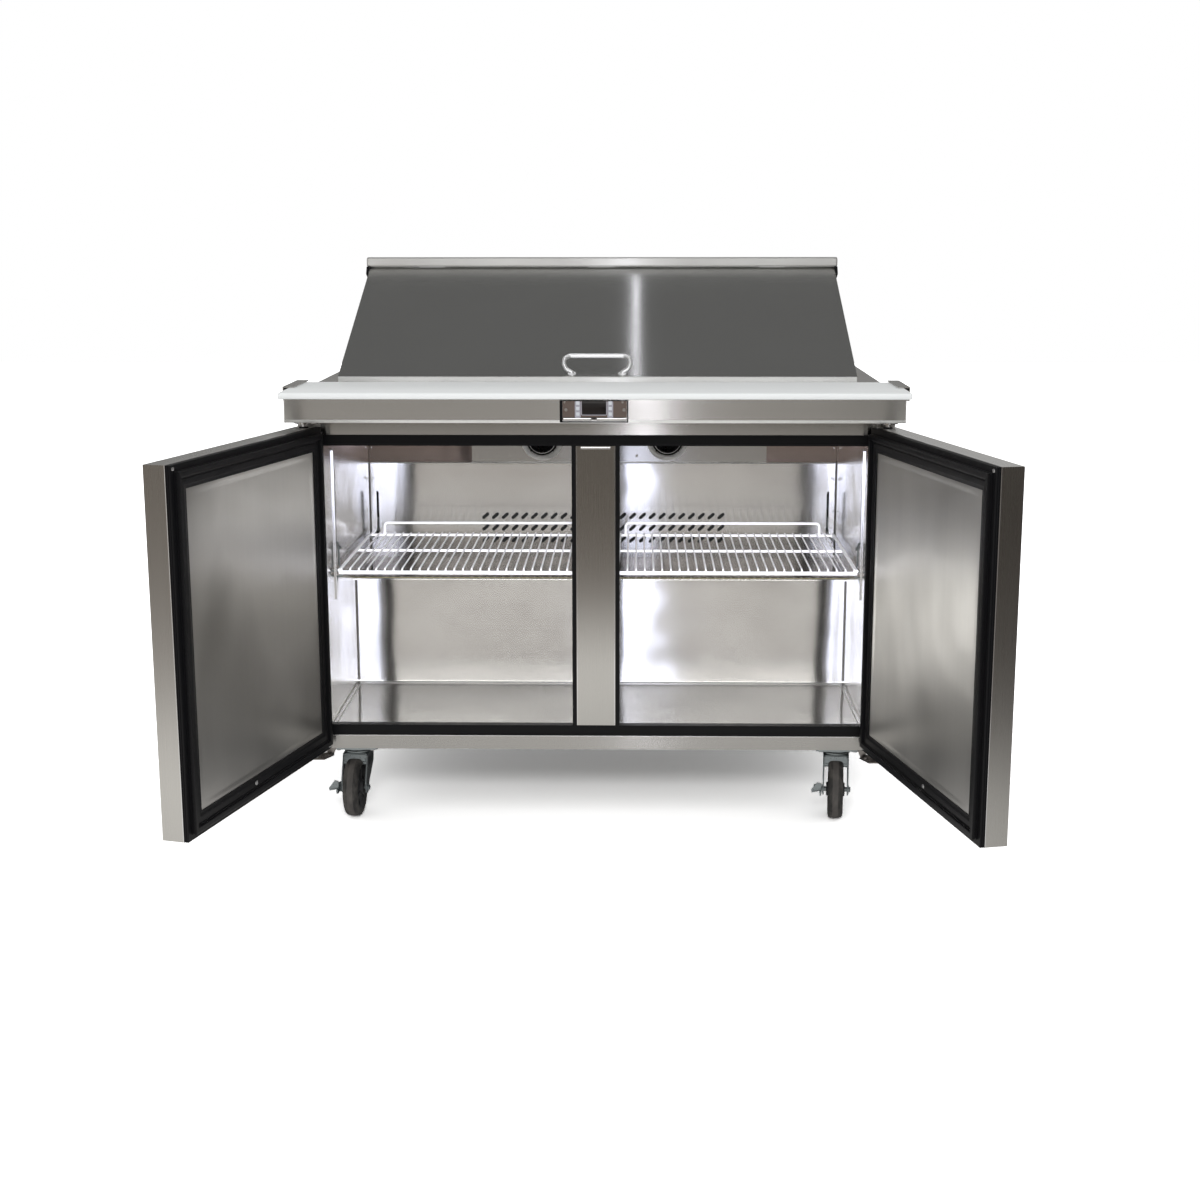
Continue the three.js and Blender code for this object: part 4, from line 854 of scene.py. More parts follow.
def make_door(word):
    """Gasket, trim, hem, pressed panel, screws and bushes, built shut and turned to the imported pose."""
    side = SIDES[word]
    body = f"{word}_door"
    matrix = door_frame_matrix(word)
    low, high = span(f"{word}_door_skin", matrix)
    seat = span(f"{word}_door_gasket", matrix)[0].y - 0.3
    rectangle = (-high.x, -low.x, low.z, high.z)
    plane = {"origin": (0, seat, 0), "u": -X, "v": Z}
    Solid().ring(rectangle, GASKET_PROFILE, **plane).piece(
        f"{word}_door_gasket_ring", "gasket", body, [f"{word}_door_gasket"], matrix)
    trim_plane = {**plane, "origin": (0, seat - TRIM_DEPTH, 0)}
    Solid().ring(rectangle, TRIM_PROFILE, **trim_plane).piece(
        f"{word}_door_trim", "black_plastic", body, [f"{word}_door_core"], matrix)
    hem = [(-0.05, -1.2), (-0.35, -0.4), (-0.05, 0.2), (1.0, 0.25), (1.0, -1.2)]
    Solid().ring(rectangle, hem, **trim_plane).piece(f"{word}_door_hem", "bright", body, (), matrix)
    panel = (low.x + PANEL_INSET, high.x - PANEL_INSET, low.z + PANEL_INSET, high.z - PANEL_INSET)
    pressed_panel(panel, seat + 1.6).piece(
        f"{word}_door_panel", "door_panel", body, [f"{word}_door_liner"], matrix, sharp=50)
    hinge_x, free_x = (high.x, low.x) if side < 0 else (low.x, high.x)
    inward = -1 if side < 0 else 1
    screws = Solid()
    screws.screw((hinge_x + inward * 9, seat, high.z - 7), Y, 3.6)
    screws.screw((free_x - inward * 9, seat, low.z + 7), Y, 3.6)
    screws.screw((hinge_x + inward * 255, seat + 4.6, low.z + 33), Y, 4.4, 1.8)
    screws.piece(f"{word}_door_screws", "screw", body, (), matrix)
    bushes = Solid()
    bush = [(9.5, -0.5), (9.5, 1.6), (8.8, 2.2), (5.4, 2.2), (5.4, -0.5)]
    for z, way in ((high.z, Z), (low.z, -Z)):
        bushes.lathe(bush, (0, 0, z), way, 28, True)
    bushes.piece(f"{word}_door_bushes", "black_plastic", body, (), matrix)


# ---------------------------------------------------------------- hinge brackets

HINGE_PLATE = 4.0
HINGE_LEAF = 3.4
HINGE_EAR = 13.0
HINGE_FOOT = 17.0
FOOT_SHEET = 2.4


def make_hinge(word, level):
    """A plate with a round ear over or under the door, its leaf on the cabinet, and the pin."""
    side = SIDES[word]
    node = f"{level}_hinge_{word}"
    low, high = span(node)
    pin_x, pin_y, _ = axis_of(f"{word}_door_hinge")
    door_low, door_high = span(f"{word}_door_skin")
    top = level == "top"
    back = high.y
    inner, outer = sorted((low.x, high.x), key=abs)
    plate = door_high.z + 8 if top else low.z
    solid = Solid()
    reach = abs(pin_x) + HINGE_EAR
    outline = [(abs(inner), back), (abs(outer), back), (abs(outer), pin_y + 2)]
    ear = [(abs(pin_x) + HINGE_EAR * math.cos(a), pin_y - HINGE_EAR * math.sin(a))
           for a in row(0.3, math.pi - 0.3, 9)]
    outline += [p for p in ear if p[0] < reach] + [(abs(inner), pin_y + 6)]
    solid.prism(outline, HINGE_PLATE * side, (0, 0, plate), (side, 0, 0), Y)
    leaf = (door_high.z + 4, high.z - 0.6) if top else (low.z, door_low.z - 0.8)
    solid.box((inner, back - HINGE_LEAF, leaf[0]), (outer, back, leaf[1]), 0.8)
    pin = (door_high.z + 0.3, plate + HINGE_PLATE + 2.4) if top else (plate - 8, door_low.z - 0.3)
    length = pin[1] - pin[0]
    solid.lathe([(7.6, 0), (7.6, 1.6), (4.9, 2.4), (4.9, length - 1.2), (3.9, length)],
                (pin_x, pin_y, pin[top]), -Z if top else Z, 28)
    if top:
        for x in (abs(inner) + 8, abs(outer) - 9):
            if abs(x - abs(pin_x)) > 2:
                solid.bolt((side * x, back - 3.3, sum(leaf) / 2), -Y, 3.6, 2.6)
    solid.piece(f"{word}_{level}_hinge_bracket", "bright", "cabinet", [node])
    if not top:
        make_hinge_foot(word, side, back, low.z)


def make_hinge_foot(word, side, back, top):
    """Pressed foot under the bottom hinge: a sloping tray with two bolts."""
    foot = Solid()
    tray = top - HINGE_FOOT
    floor = [(side * x, back - y) for x, y in ((556, 0), (602, 0), (596, 34), (572, 34))]
    wall = [(side * 552, top - 1.5), (side * 606, top - 1.5), (side * 600, tray), (side * 558, tray)]
    foot.prism(floor[::side], -FOOT_SHEET * side, (0, 0, tray), X, Y)
    foot.prism(wall[::side], FOOT_SHEET * side, (0, back + 2, 0), X, Z)
    for x in (568, 590):
        foot.bolt((side * x, back - 12, tray + 0.2), Z, 4.6, 3.6)
    foot.piece(f"{word}_hinge_foot", "foot", "cabinet")


# ---------------------------------------------------------------- interior

VENT_ROWS = (331, 360, 389)
VENT_PITCH = 24.0
VENT_LEFT, VENT_RIGHT = -286, 296
WALL_SHEET = 0.8
LINER_COVE = 7
STRIP = 2.4


def vent_slots():
    count = int((VENT_RIGHT - VENT_LEFT) / VENT_PITCH) + 1
    return [capsule((VENT_LEFT + i * VENT_PITCH, z), 21, 8, math.radians(42))
            for z in VENT_ROWS for i in range(count)]


def make_liner():
    """The bright lining: folded floor and step, back with its vent slots, walls and top."""
    low, high = span("inner_liner")
    x0, x1 = low.x + 1, high.x - 1
    floor, ceiling, front, back = low.z + 1, high.z - 1, low.y, high.y - 1
    hump_front, hump_top = liner_hump()
    outline = bent_path(
        [(front, floor, 0), (hump_front, floor, 0), (hump_front, hump_top, 0), (back, hump_top, 0)],
        LINER_COVE, steps=5)
    inner = [(p.x, p.y) for p in outline]
    sheet = inner + [(p.x + s, p.y + t) for p, (s, t) in zip(reversed(outline), sheet_offsets(outline))]
    solid = Solid()
    solid.prism(sheet, x1 - x0, (x0, 0, 0), Y, Z)
    wall = rounded_rect(x0, x1, hump_top, ceiling, 0.2, 1)
    solid.prism(wall, -WALL_SHEET, (0, back, 0), X, Z, vent_slots())
    side_outline = [(front, floor), (hump_front, floor), (hump_front, hump_top), (back, hump_top),
                    (back, ceiling), (front, ceiling)]
    for x in (x0 - WALL_SHEET, x1):
        solid.prism(side_outline, WALL_SHEET, (x, 0, 0), Y, Z)
    pans_low, pans_high = span("food_pans")
    well = [(pans_low.x + 3, pans_low.y + 3), (pans_high.x - 3, pans_low.y + 3),
            (pans_high.x - 3, pans_high.y - 6), (pans_low.x + 3, pans_high.y - 6)]
    top = [(x0, front), (x1, front), (x1, back), (x0, back)]
    solid.prism(top, WALL_SHEET, (0, 0, ceiling), X, Y, [well])
    solid.piece("liner_shell", "liner", "cabinet", ["inner_liner"], sharp=25)
    # Painted shade: a thin dark sheet on the hump's top, under the shelves.
    hump_shade_sheet = Solid()
    hump_shade_sheet.box((x0 + 1, hump_front + 8, hump_top + 0.1), (x1 - 1, back - 1, hump_top + 0.7), 0.2, 1)
    hump_shade_sheet.piece("hump_top_painted_shade", "liner_painted_deep_shade", "cabinet")
    # Painted shade: a dark sheet behind the vent slots.
    vent_shade_sheet = Solid()
    vent_shade_sheet.box((VENT_LEFT - 14, back + WALL_SHEET + 0.15, VENT_ROWS[0] - 14),
             (VENT_RIGHT + 14, back + WALL_SHEET + 0.5, VENT_ROWS[-1] + 14), 0.1, 1)
    vent_shade_sheet.piece("vent_shadow", "machine", "cabinet")
    seams = Solid()
    for x, way in ((x0, 1), (x1, -1)):
        rear, step, foot = x + way * 1.4, x + way * 1.6, x + way * 5
        seams.tube([(rear, back - 1, hump_top + 8), (rear, back - 1, ceiling)], 1.3, sides=8)
        seams.tube([(step, hump_front - 1.4, z) for z in (floor + 8, hump_top - 8)], 1.4, sides=8)
        seams.tube([(foot, front + 2, floor + 0.6), (foot, hump_front - 4, floor + 0.6)], 1.3, sides=8)
        seams.box((x, front + 1, floor + 2), (x + way * 0.9, front + 15, ceiling - 2), 0.4)
    for margin, y, lift, thick in ((3, hump_front - 3.2, 2.6, 1.2), (1, front + 2, 0.8, 1.4)):
        seams.tube([(x0 + margin, y, floor + lift), (x1 - margin, y, floor + lift)], thick, sides=8)
    seams.piece("liner_seams", "liner_edge", "cabinet")
    rivets = Solid()
    for x, way in ((x0, 1), (x1, -1)):
        for z in row(floor + 40, ceiling - 60, 8):
            rivets.lathe([(3.2, 0), (3.0, 0.8), (1.6, 1.5)], (x + way * 0.7, front + 8, z), (way, 0, 0), 16)
        for z in row(hump_top + 40, ceiling - 60, 5):
            rivets.lathe([(3, 0), (2.8, 0.8), (1.5, 1.4)], (x + way * 7, back - 1, z), -Y, 16)
    rivets.piece("liner_rivets", "screw", "cabinet")


def liner_hump():
    """Front and top of the machine compartment's wall, from the liner's own vertices."""
    low, high = span("inner_liner")
    middle = (low.y + high.y) / 2
    points = [v.co / MM for v in frame["nodes"]["inner_liner"].data.vertices]
    front = min(p.y for p in points if p.z < low.z + 3 and p.y > middle)
    top = max(p.z for p in points if p.y > high.y - 3 and p.z < (low.z + high.z) / 2)
    return front, top


def sheet_offsets(path):
    """Offsets that give the folded sheet its thickness, from its end back to its start."""
    offsets = []
    for i in reversed(range(len(path))):
        before, after = path[max(i - 1, 0)], path[min(i + 1, len(path) - 1)]
        along = (after - before).normalized()
        offsets.append((along.y * WALL_SHEET, -along.x * WALL_SHEET))
    return offsets


WIRE_RADIUS = 2.0
ROD_RADIUS = 3.1
SHELF_WIRES = 29
WIRE_PITCH = 18.7
GUARD_HEIGHT = 26
GUARD_INSET = 40


def make_shelf(word):
    """Wires turned down at the front, rods under them, and a guard rail at the back."""
    node = f"wire_shelf_{word}"
    low, high = span(node)
    level = high.z - GUARD_HEIGHT
    front, back = low.y, high.y
    solid = Solid()
    wire_z = level - WIRE_RADIUS
    middle, reach = (low.x + high.x) / 2, WIRE_PITCH * (SHELF_WIRES - 1) / 2
    for x in row(middle - reach, middle + reach, SHELF_WIRES):
        path = [(x, front + WIRE_RADIUS, level - 13), (x, front + WIRE_RADIUS, wire_z), (x, back - 2, wire_z)]
        solid.tube(path, WIRE_RADIUS, bend=5, sides=10, steps=4)
    rod_z = wire_z - WIRE_RADIUS - ROD_RADIUS + 0.8
    for y in (front + 243, back - 5):
        solid.tube([(low.x + 2, y, rod_z), (high.x - 2, y, rod_z)], ROD_RADIUS, sides=14)
    for x in (low.x + 3, high.x - 3):
        solid.tube([(x, back - 4, rod_z), (x, front + 8, rod_z)], ROD_RADIUS, sides=14)
    solid.tube([(low.x + 3, front + 7.5, level - 11), (high.x - 3, front + 7.5, level - 11)], 4.2, sides=16)
    guard_y, guard_z = back - 4.5, high.z - ROD_RADIUS
    left, right = low.x + GUARD_INSET, high.x - GUARD_INSET
    solid.tube([(left, guard_y, rod_z), (left, guard_y, guard_z), (right, guard_y, guard_z),
                (right, guard_y, rod_z)], ROD_RADIUS, bend=9, sides=14)
    solid.piece(f"shelf_{word}", "wire", "cabinet", [node], sharp=60)


def serrated_slot(low, high, width, pitch=6.4, tooth=1.7):
    """Outline of a slot whose one long edge is toothed for the shelf clips."""
    points = [(-width / 2, low), (width / 2, low)]
    z = low + pitch
    while z < high - pitch:
        points += [(width / 2, z), (width / 2 + tooth, z + 0.8), (width / 2 + tooth, z + pitch * 0.5),
                   (width / 2, z + pitch * 0.65)]
        z += pitch
    return points + [(width / 2, high), (-width / 2, high)]


def make_pilaster(word, place):
    """A slotted strip on the wall with the clip that carries the shelf."""
    side = SIDES[word]
    node = f"{place}_pilaster_{word}"
    low, high = span(node)
    shelf_level = span(f"wire_shelf_{word}")[1].z - GUARD_HEIGHT
    if place == "front":
        along, out = Y, X * -side
        seat = X * side * max(abs(low.x), abs(high.x)) + Y * (low.y + high.y) / 2
        slot = (shelf_level + 24, high.z - 42)
    else:
        along, out = X * -side, -Y
        seat = X * (low.x + high.x) / 2 + Y * high.y
        slot = (shelf_level - 20, high.z - 52)

    def spot(across, depth, level):
        return seat + along * across + out * depth + Z * level

    lift = along.cross(Z).dot(out)
    solid = Solid()
    peephole = [(a - 6.5, b + high.z - 34) for a, b in circle(12, 2.2)]
    holes = [serrated_slot(*slot, 5), peephole]
    solid.prism(rounded_rect(-11, 11, low.z, high.z, 2), STRIP * lift, seat, along, Z, holes)
    solid.piece(f"{place}_{word}_wall_strip", "liner", "cabinet", [node])
    # Painted shade: a black sheet behind the toothed slot, so it reads as deep.
    dark = Solid()
    dark.box(spot(-4, -0.3, slot[0] - 2), spot(5, 0.3, slot[1] + 2), 0.1, 1)
    dark.piece(f"{place}_{word}_slot_painted_shade", "black_plastic", "cabinet")
    across = -8 if place == "rear" else 0
    places = [spot(across, STRIP - 0.2, level) for level in (high.z - 19, slot[0] + 16)]
    Solid().screws(places, out, 2.8, 1.8).piece(f"{place}_{word}_strip_screws", "screw", "cabinet")
    clip = Solid()
    ledge = shelf_level - 2 * WIRE_RADIUS - 2 * ROD_RADIUS
    if place == "front":
        hook = ((0.6, 58), (6, 60), (7, 10), (13, -2), (13, -14), (2, -16), (0.6, -30))
        clip.tube([spot(0, depth, ledge + level) for depth, level in hook], 2.0, bend=4, sides=10)
        thumb = ((-6, 5, 54), (-6, 11, 46), (6, 11, 46), (6, 5, 54))
        clip.tube([spot(a, depth, ledge + level) for a, depth, level in thumb], 1.7, bend=4, sides=10)
        clip.box(spot(-7, 0.6, ledge - 4.2), spot(7, 13, ledge - 1.4), 0.6)
    else:
        reach = high.y - low.y
        arm = ((1, -24), (4, -24), (14, -9), (reach - 2, -7), (reach, -2), (reach, 0), (1, 0))
        clip.prism([(depth, ledge + level) for depth, level in arm], 3, spot(-1.5, 0, 0), out, Z)
        hook = ((2, 30), (7, 24), (9, 4), (18, -3))
        clip.tube([spot(0, depth, ledge + level) for depth, level in hook], 2.0, bend=5, sides=10)
    clip.piece(f"{place}_{word}_shelf_clip", "zinc", "cabinet")


def make_evaporator():
    """Cover box with two fan openings, its coil, and the plate behind it that spans the cabinet."""
    low, high = span("evaporator_unit")
    face = low.y
    points = [v.co / MM for v in frame["nodes"]["evaporator_unit"].data.vertices]
    front = [p for p in points if p.y < face + 0.5]
    left, right = min(p.x for p in front), max(p.x for p in front)
    bottom, top = min(p.z for p in front), max(p.z for p in front)
    fan_low, fan_high = span("evaporator_fan_left")
    radius = (fan_high.x - fan_low.x) / 2
    centers = [axis_of(f"evaporator_fan_{word}_spin")[::2] for word in SIDES]
    cover = Solid()
    holes = [[(cx + a, cz + b) for a, b in circle(40, radius + 3.5)] for cx, cz in centers]
    cover.prism(rounded_rect(left, right, bottom, top, 1, 2), -1, (0, face, 0), X, Z, holes)
    cover.box((left, face + 1, bottom), (right, high.y - 3, bottom + 1), 0.3, 1)
    for x in (left, right - 1):
        cover.box((x, face + 1, bottom + 1), (x + 1, high.y - 3, top), 0.3, 1)
    cover.piece("evaporator_cover", "steel_level", "cabinet", ["evaporator_unit"])
    hem = Solid()
    hem.box((left, face - 0.5, bottom - 0.6), (right, face + 0.6, bottom + 2.2), 0.5)
    hem.tube([(low.x, high.y - 2.6, low.z + 1), (high.x, high.y - 2.6, low.z + 1)], 1.5, sides=10)
    hem.piece("evaporator_hem", "edge", "cabinet")
    # Painted shade: the back plate is a darker copy of the liner.
    plate = Solid()
    plate.box((low.x, high.y - 2, low.z), (high.x, high.y - 0.2, high.z), 0.4)
    plate.piece("evaporator_back_plate", "liner_painted_shade", "cabinet")
    coil = Solid()
    for x in row(left + 40, right - 40, 60):
        coil.box((x, face + 62, bottom + 12), (x + 0.8, high.y - 6, top - 12), 0.1, 1)
    coil.piece("evaporator_coil", "fins", "cabinet")
    motors = Solid()
    for cx, cz in centers:
        motors.lathe([(3, 14), (3, 26), (15, 28), (16.5, 31), (16.5, 66), (14, 70)], (cx, face, cz), Y, 28)
        motors.box((cx - radius - 10, face + 44, cz - 5), (cx + radius + 10, face + 47, cz + 5), 0.5)
    motors.piece("evaporator_motors", "machine", "cabinet")
    for word, center in zip(SIDES, centers):
        make_fan_guard(word, center, face - 0.4, radius)
        make_fan(f"evaporator_fan_{word}", radius, FAN_BLADES)
    places = [(x, face + 0.1, low.z + 35) for x in (-292, -215, -60, 20, 84, 230, 300, 376)]
    Solid().screws(places, -Y, 3.4).piece("evaporator_screws", "screw", "cabinet")


def make_fan_guard(word, center, near, radius):
    """The collar round a fan's opening, and the wire guard over it."""
    cx, cz = center

    def hoop(solid, r, lift, wire):
        solid.tube([(cx + a, near - lift, cz + b) for a, b in circle(44, r)], wire, sides=8, closed=True)
        return solid

    collar = [(radius - 3.2, 1), (radius - 3.2, -2.6), (radius - 1, -4), (radius + 4, -0.6),
              (radius + 9, 0), (radius + 9, 0.8), (radius + 1, 1)]
    Solid().lathe(collar, (cx, near, cz), Y, 56, True).piece(f"evaporator_collar_{word}", "edge", "cabinet")
    guard = Solid()
    for r, wire, lift in ((radius - 5.6, 1.5, 3.2), (radius - 11.5, 1.2, 4.6), (radius - 20, 1.2, 5.6),
                          (11, 1.2, 6)):
        hoop(guard, r, lift, wire)
    for k in range(4):
        a = math.radians(45 + 90 * k)
        c, s = math.cos(a), math.sin(a)
        rim = (cx + (radius - 2) * c, near - 2.4, cz + (radius - 2) * s)
        guard.tube([(cx + 9 * c, near - 6, cz + 9 * s), rim], 1.3, sides=8)
    guard.piece(f"evaporator_guard_{word}", "black_plastic", "cabinet")
    hoop(Solid(), radius - 8.4, 4.2, 1.1).piece(f"evaporator_ring_{word}", "edge", "cabinet")


FAN_BLADES = 5


def axis_of(joint):
    """A point on the joint's axis, in millimetres."""
    return [c / MM for c in JOINTS[joint]["pos_m"]]


def make_fan(node, radius, blades):
    """An axial fan whose blades are curved and pitched, turning about Y."""
    cx, cy, cz = axis_of(f"{node}_spin")
    solid = Solid()
    hub = [(3.5, -7), (12, -7), (14.2, -5.5), (15, -3.5), (15, 6), (13.6, 7), (3.5, 7)]
    solid.lathe(hub, (cx, cy, cz), Y, 28, True)
    for k in range(blades):
        start = 2 * math.pi * k / blades
        sheets = []
        for r in row(13, radius, 7):
            share = (r - 13) / (radius - 13)
            half = math.radians(24 - 3 * share)
            strip = []
            for t in row(-1, 1, 7):
                a = start + half * t + 0.25 * share
                lean = 5.2 * t * (0.9 - 0.35 * share)
                strip.append((cx + r * math.cos(a), cy + lean, cz + r * math.sin(a)))
            sheets.append(strip)
        rings = [[Vector(p) + Vector((0, 0.7, 0)) for p in strip]
                 + [Vector(p) - Vector((0, 0.7, 0)) for p in reversed(strip)] for strip in sheets]
        solid.loft(rings)
    solid.piece(f"{node}_blades", "black_plastic", node, [node], sharp=45)


# ---------------------------------------------------------------- casters


def caster_matrix(corner):
    """From a caster's own axes, with its axle along X, to where it stands."""
    swivel, roll = JOINTS[f"{corner}_swivel"], JOINTS[f"{corner}_roll"]
    x_axis = Vector(roll["axis"])
    if x_axis.x < 0:
        x_axis = -x_axis
    turn = math.atan2(x_axis.y, x_axis.x)
    return Matrix.Translation(Vector((*swivel["pos_m"][:2], 0))) @ Matrix.Rotation(turn, 4, "Z")


def make_caster(corner, braked):
    matrix = caster_matrix(corner)
    low, high = span(f"{corner}_caster_wheel", matrix)
    axle = (0, (low.y + high.y) / 2, (low.z + high.z) / 2)
    make_caster_plate(corner)
    make_fork(corner, matrix, axle, braked)
    make_wheel(corner, matrix, axle, (high.z - low.z) / 2)
    if braked:
        make_brake(corner, matrix, axle)


def make_caster_plate(corner):
    """The bolted top plate with the race under it, square to the cabinet."""
    fixed = Matrix.Translation(Vector((*JOINTS[f"{corner}_swivel"]["pos_m"][:2], 0)))
    solid = Solid()
    bolts = [(sx * 36, sy * 31) for sx in (-1, 1) for sy in (-1, 1)]
    slots = [capsule(place, 13, 9) for place in bolts]
    solid.prism(rounded_rect(-47, 47, -42, 42, 5), 3.6, (0, 0, -3.9), X, Y, slots)
    solid.lathe([(31, -3.6), (32, -6), (31.4, -9), (27.5, -12)], (0, 0, 0), Z, 40)
    solid.piece(f"{corner}_top_plate", "zinc", "cabinet", [f"{corner}_caster_plate"], fixed)
    fasteners = Solid()
    for x, y in bolts:
        fasteners.bolt((x, y, -3.8), -Z, 5.4, 3.2)
    fasteners.piece(f"{corner}_plate_bolts", "screw", "cabinet", (), fixed)


def make_fork(corner, matrix, axle, braked):
    """Two legs under a bent arch with a rolled lip, the axle and its nuts, and the brake's shoe."""
    _, axle_y, axle_z = axle
    fork = Solid()
    fork.lathe([(29, -12.4), (29.4, -15), (27, -18.2)], (0, 0, 0), Z, 40)
    leg = bent_path([Vector((a, b, 0)) for a, b in (
        (27, -16), (-31, -16), (axle_y - 15, axle_z + 12), (axle_y - 10, axle_z - 12),
        (axle_y + 10, axle_z - 12), (axle_y + 17, axle_z + 6), (27, -44))], 7, closed=True, steps=5)
    for x in (-27, 24.2):
        fork.prism([(p.x, p.y) for p in leg], 2.8, (x, 0, 0), Y, Z)
    outer = bent_path([(-27, 0, -44), (-27, 0, -15.4), (27, 0, -15.4), (27, 0, -44)], 9)
    inner = bent_path([(24.2, 0, -44), (24.2, 0, -18.2), (-24.2, 0, -18.2), (-24.2, 0, -44)], 6.5)
    fork.prism([(p.x, p.z) for p in outer + inner], -52, (0, -28, 0), X, Z)
    lip_y, lip_end, lip_bend = -28.6, axle_z + 6, -30
    lip = bent_path([(-25.6, lip_y, lip_end), (-25.6, lip_y, -16.8), (25.6, lip_y, -16.8),
                     (25.6, lip_y, lip_end)], 7)
    for point in lip:
        if point.z < lip_bend:
            point.y = lip_y - (lip_y - (axle_y - 13)) * (lip_bend - point.z) / (lip_bend - axle_z - 6)
    fork.tube(lip, 1.7, sides=10)
    fork.lathe([(5, -31), (5, 31)], axle, X, 24)
    fork.bolt((26.8, axle_y, axle_z), X, 6.2, 4.2)
    fork.bolt((-26.8, axle_y, axle_z), -X, 6.2, 1.2)
    if braked:
        shoe = [(-37, -24.5), (-39, -30), (-33, -34), (-18, -31), (-16, -28.4), (-32, -30.5), (-34.5, -27.5)]
        fork.prism(shoe, 44, (-22, 0, 0), Y, Z)
        shield = [(-28.4, -16.5), (-36, -37), (-35, -39.5), (-32.5, -38.5), (-26, -18.5)]
        fork.prism(shield, 50, (-25, 0, 0), Y, Z)
    fork.piece(f"{corner}_fork", "zinc", f"{corner}_caster", [f"{corner}_caster_fork"], matrix)


TYRE_HALF = 16
SPOKES = 6


def make_wheel(corner, matrix, axle, tread):
    """Tyre with round shoulders, the worn band round its middle, and a ribbed hub."""
    _, axle_y, axle_z = axle
    body = f"{corner}_wheel"
    shoulder = [(tread - 9, TYRE_HALF), (tread - 4.5, TYRE_HALF - 0.8), (tread - 1.6, TYRE_HALF - 3),
                (tread - 0.4, TYRE_HALF - 7)]
    bead = [(tread - 13, TYRE_HALF - 0.6), (tread - 13, 0.6 - TYRE_HALF)]
    crown = [(r, -a) for r, a in shoulder] + [(tread, 0)] + shoulder[::-1] + bead
    Solid().lathe(crown, axle, X, 72, True).piece(
        f"{corner}_tyre", "tread", body, [f"{corner}_caster_wheel"], matrix)
    band = [(tread - 1, -6.5), (tread - 0.1, -6), (tread + 0.05, 0), (tread - 0.1, 6), (tread - 1, 6.5)]
    Solid().lathe(band, axle, X, 72, True).piece(f"{corner}_tyre_band", "tread_worn", body, (), matrix)
    hub = Solid()
    face = [(6, -19.5), (13, -19.5), (14.5, -18), (15.5, -13), (34, -9), (tread - 16, -13),
            (tread - 12.6, -14.8)]
    hub.lathe(face + [(r, -a) for r, a in reversed(face)], axle, X, 56, True)
    for k in range(SPOKES):
        a = math.radians(360 / SPOKES * k + 15)
        c, s = math.cos(a), math.sin(a)
        rim = tread - 14
        for way in (-1, 1):
            hub.tube([(way * 11.5, axle_y + 15 * c, axle_z + 15 * s),
                      (way * 11, axle_y + rim * c, axle_z + rim * s)], 2.6, sides=8)
    hub.piece(f"{corner}_wheel_core", "hub", body, (), matrix)


def make_brake(corner, matrix, axle):
    """The brake pedal: an eye on the axle, its arm, the blade that is trodden on and the tongue."""
    _, axle_y, axle_z = axle
    pedal = Solid()
    pedal.lathe([(5.5, -34), (10.4, -34), (11, -33), (11, -28.6), (5.5, -28.6)], axle, X, 32, True)

    def from_axle(*points):
        return [(axle_y + a, axle_z + b) for a, b in points]

    arm = from_axle((-8, 5), (-8, -5), (-34, -5), (-38, 0), (-38, 4.8), (-20, 6))
    pedal.prism(arm, 3.4, (-33, 0, 0), Y, Z)
    blade = [(x, axle_z + b) for x, b in ((-30, 6), (-30, 19), (-38, 22), (-51, 5), (-50, -1), (-38, 1))]
    pedal.prism(blade, 3, (0, axle_y - 24, 0), X, Z)
    pedal.prism(from_axle((-27, 3), (-27, 5), (-8, 12), (-8, 9)), 14, (-46, 0, 0), Y, Z)
    pedal.piece(f"{corner}_brake_lever", "zinc", f"{corner}_brake", [f"{corner}_brake_pedal"], matrix)


# ---------------------------------------------------------------- lid, rail and handle

LID_KNUCKLES = (-400, 0, 400)
KNUCKLE_GAP = 31
GRIP_RADIUS = 4.6
GRIP_FEET = 53
# Half of the grip, from foot to crown: across from its middle, up the lid, and off the lid.
GRIP_HALF = [(GRIP_FEET, 0, 0.2), (GRIP_FEET, 0, 4), (65, 3, 10), (70, 9, 18), (69, 19, 26), (58, 27, 29)]
# The rail's rounded ends: how far from the end, and the share of the section there.
RAIL_END = [(0, 0.62), (0.7, 0.82), (2.0, 0.95), (4.0, 1.0)]


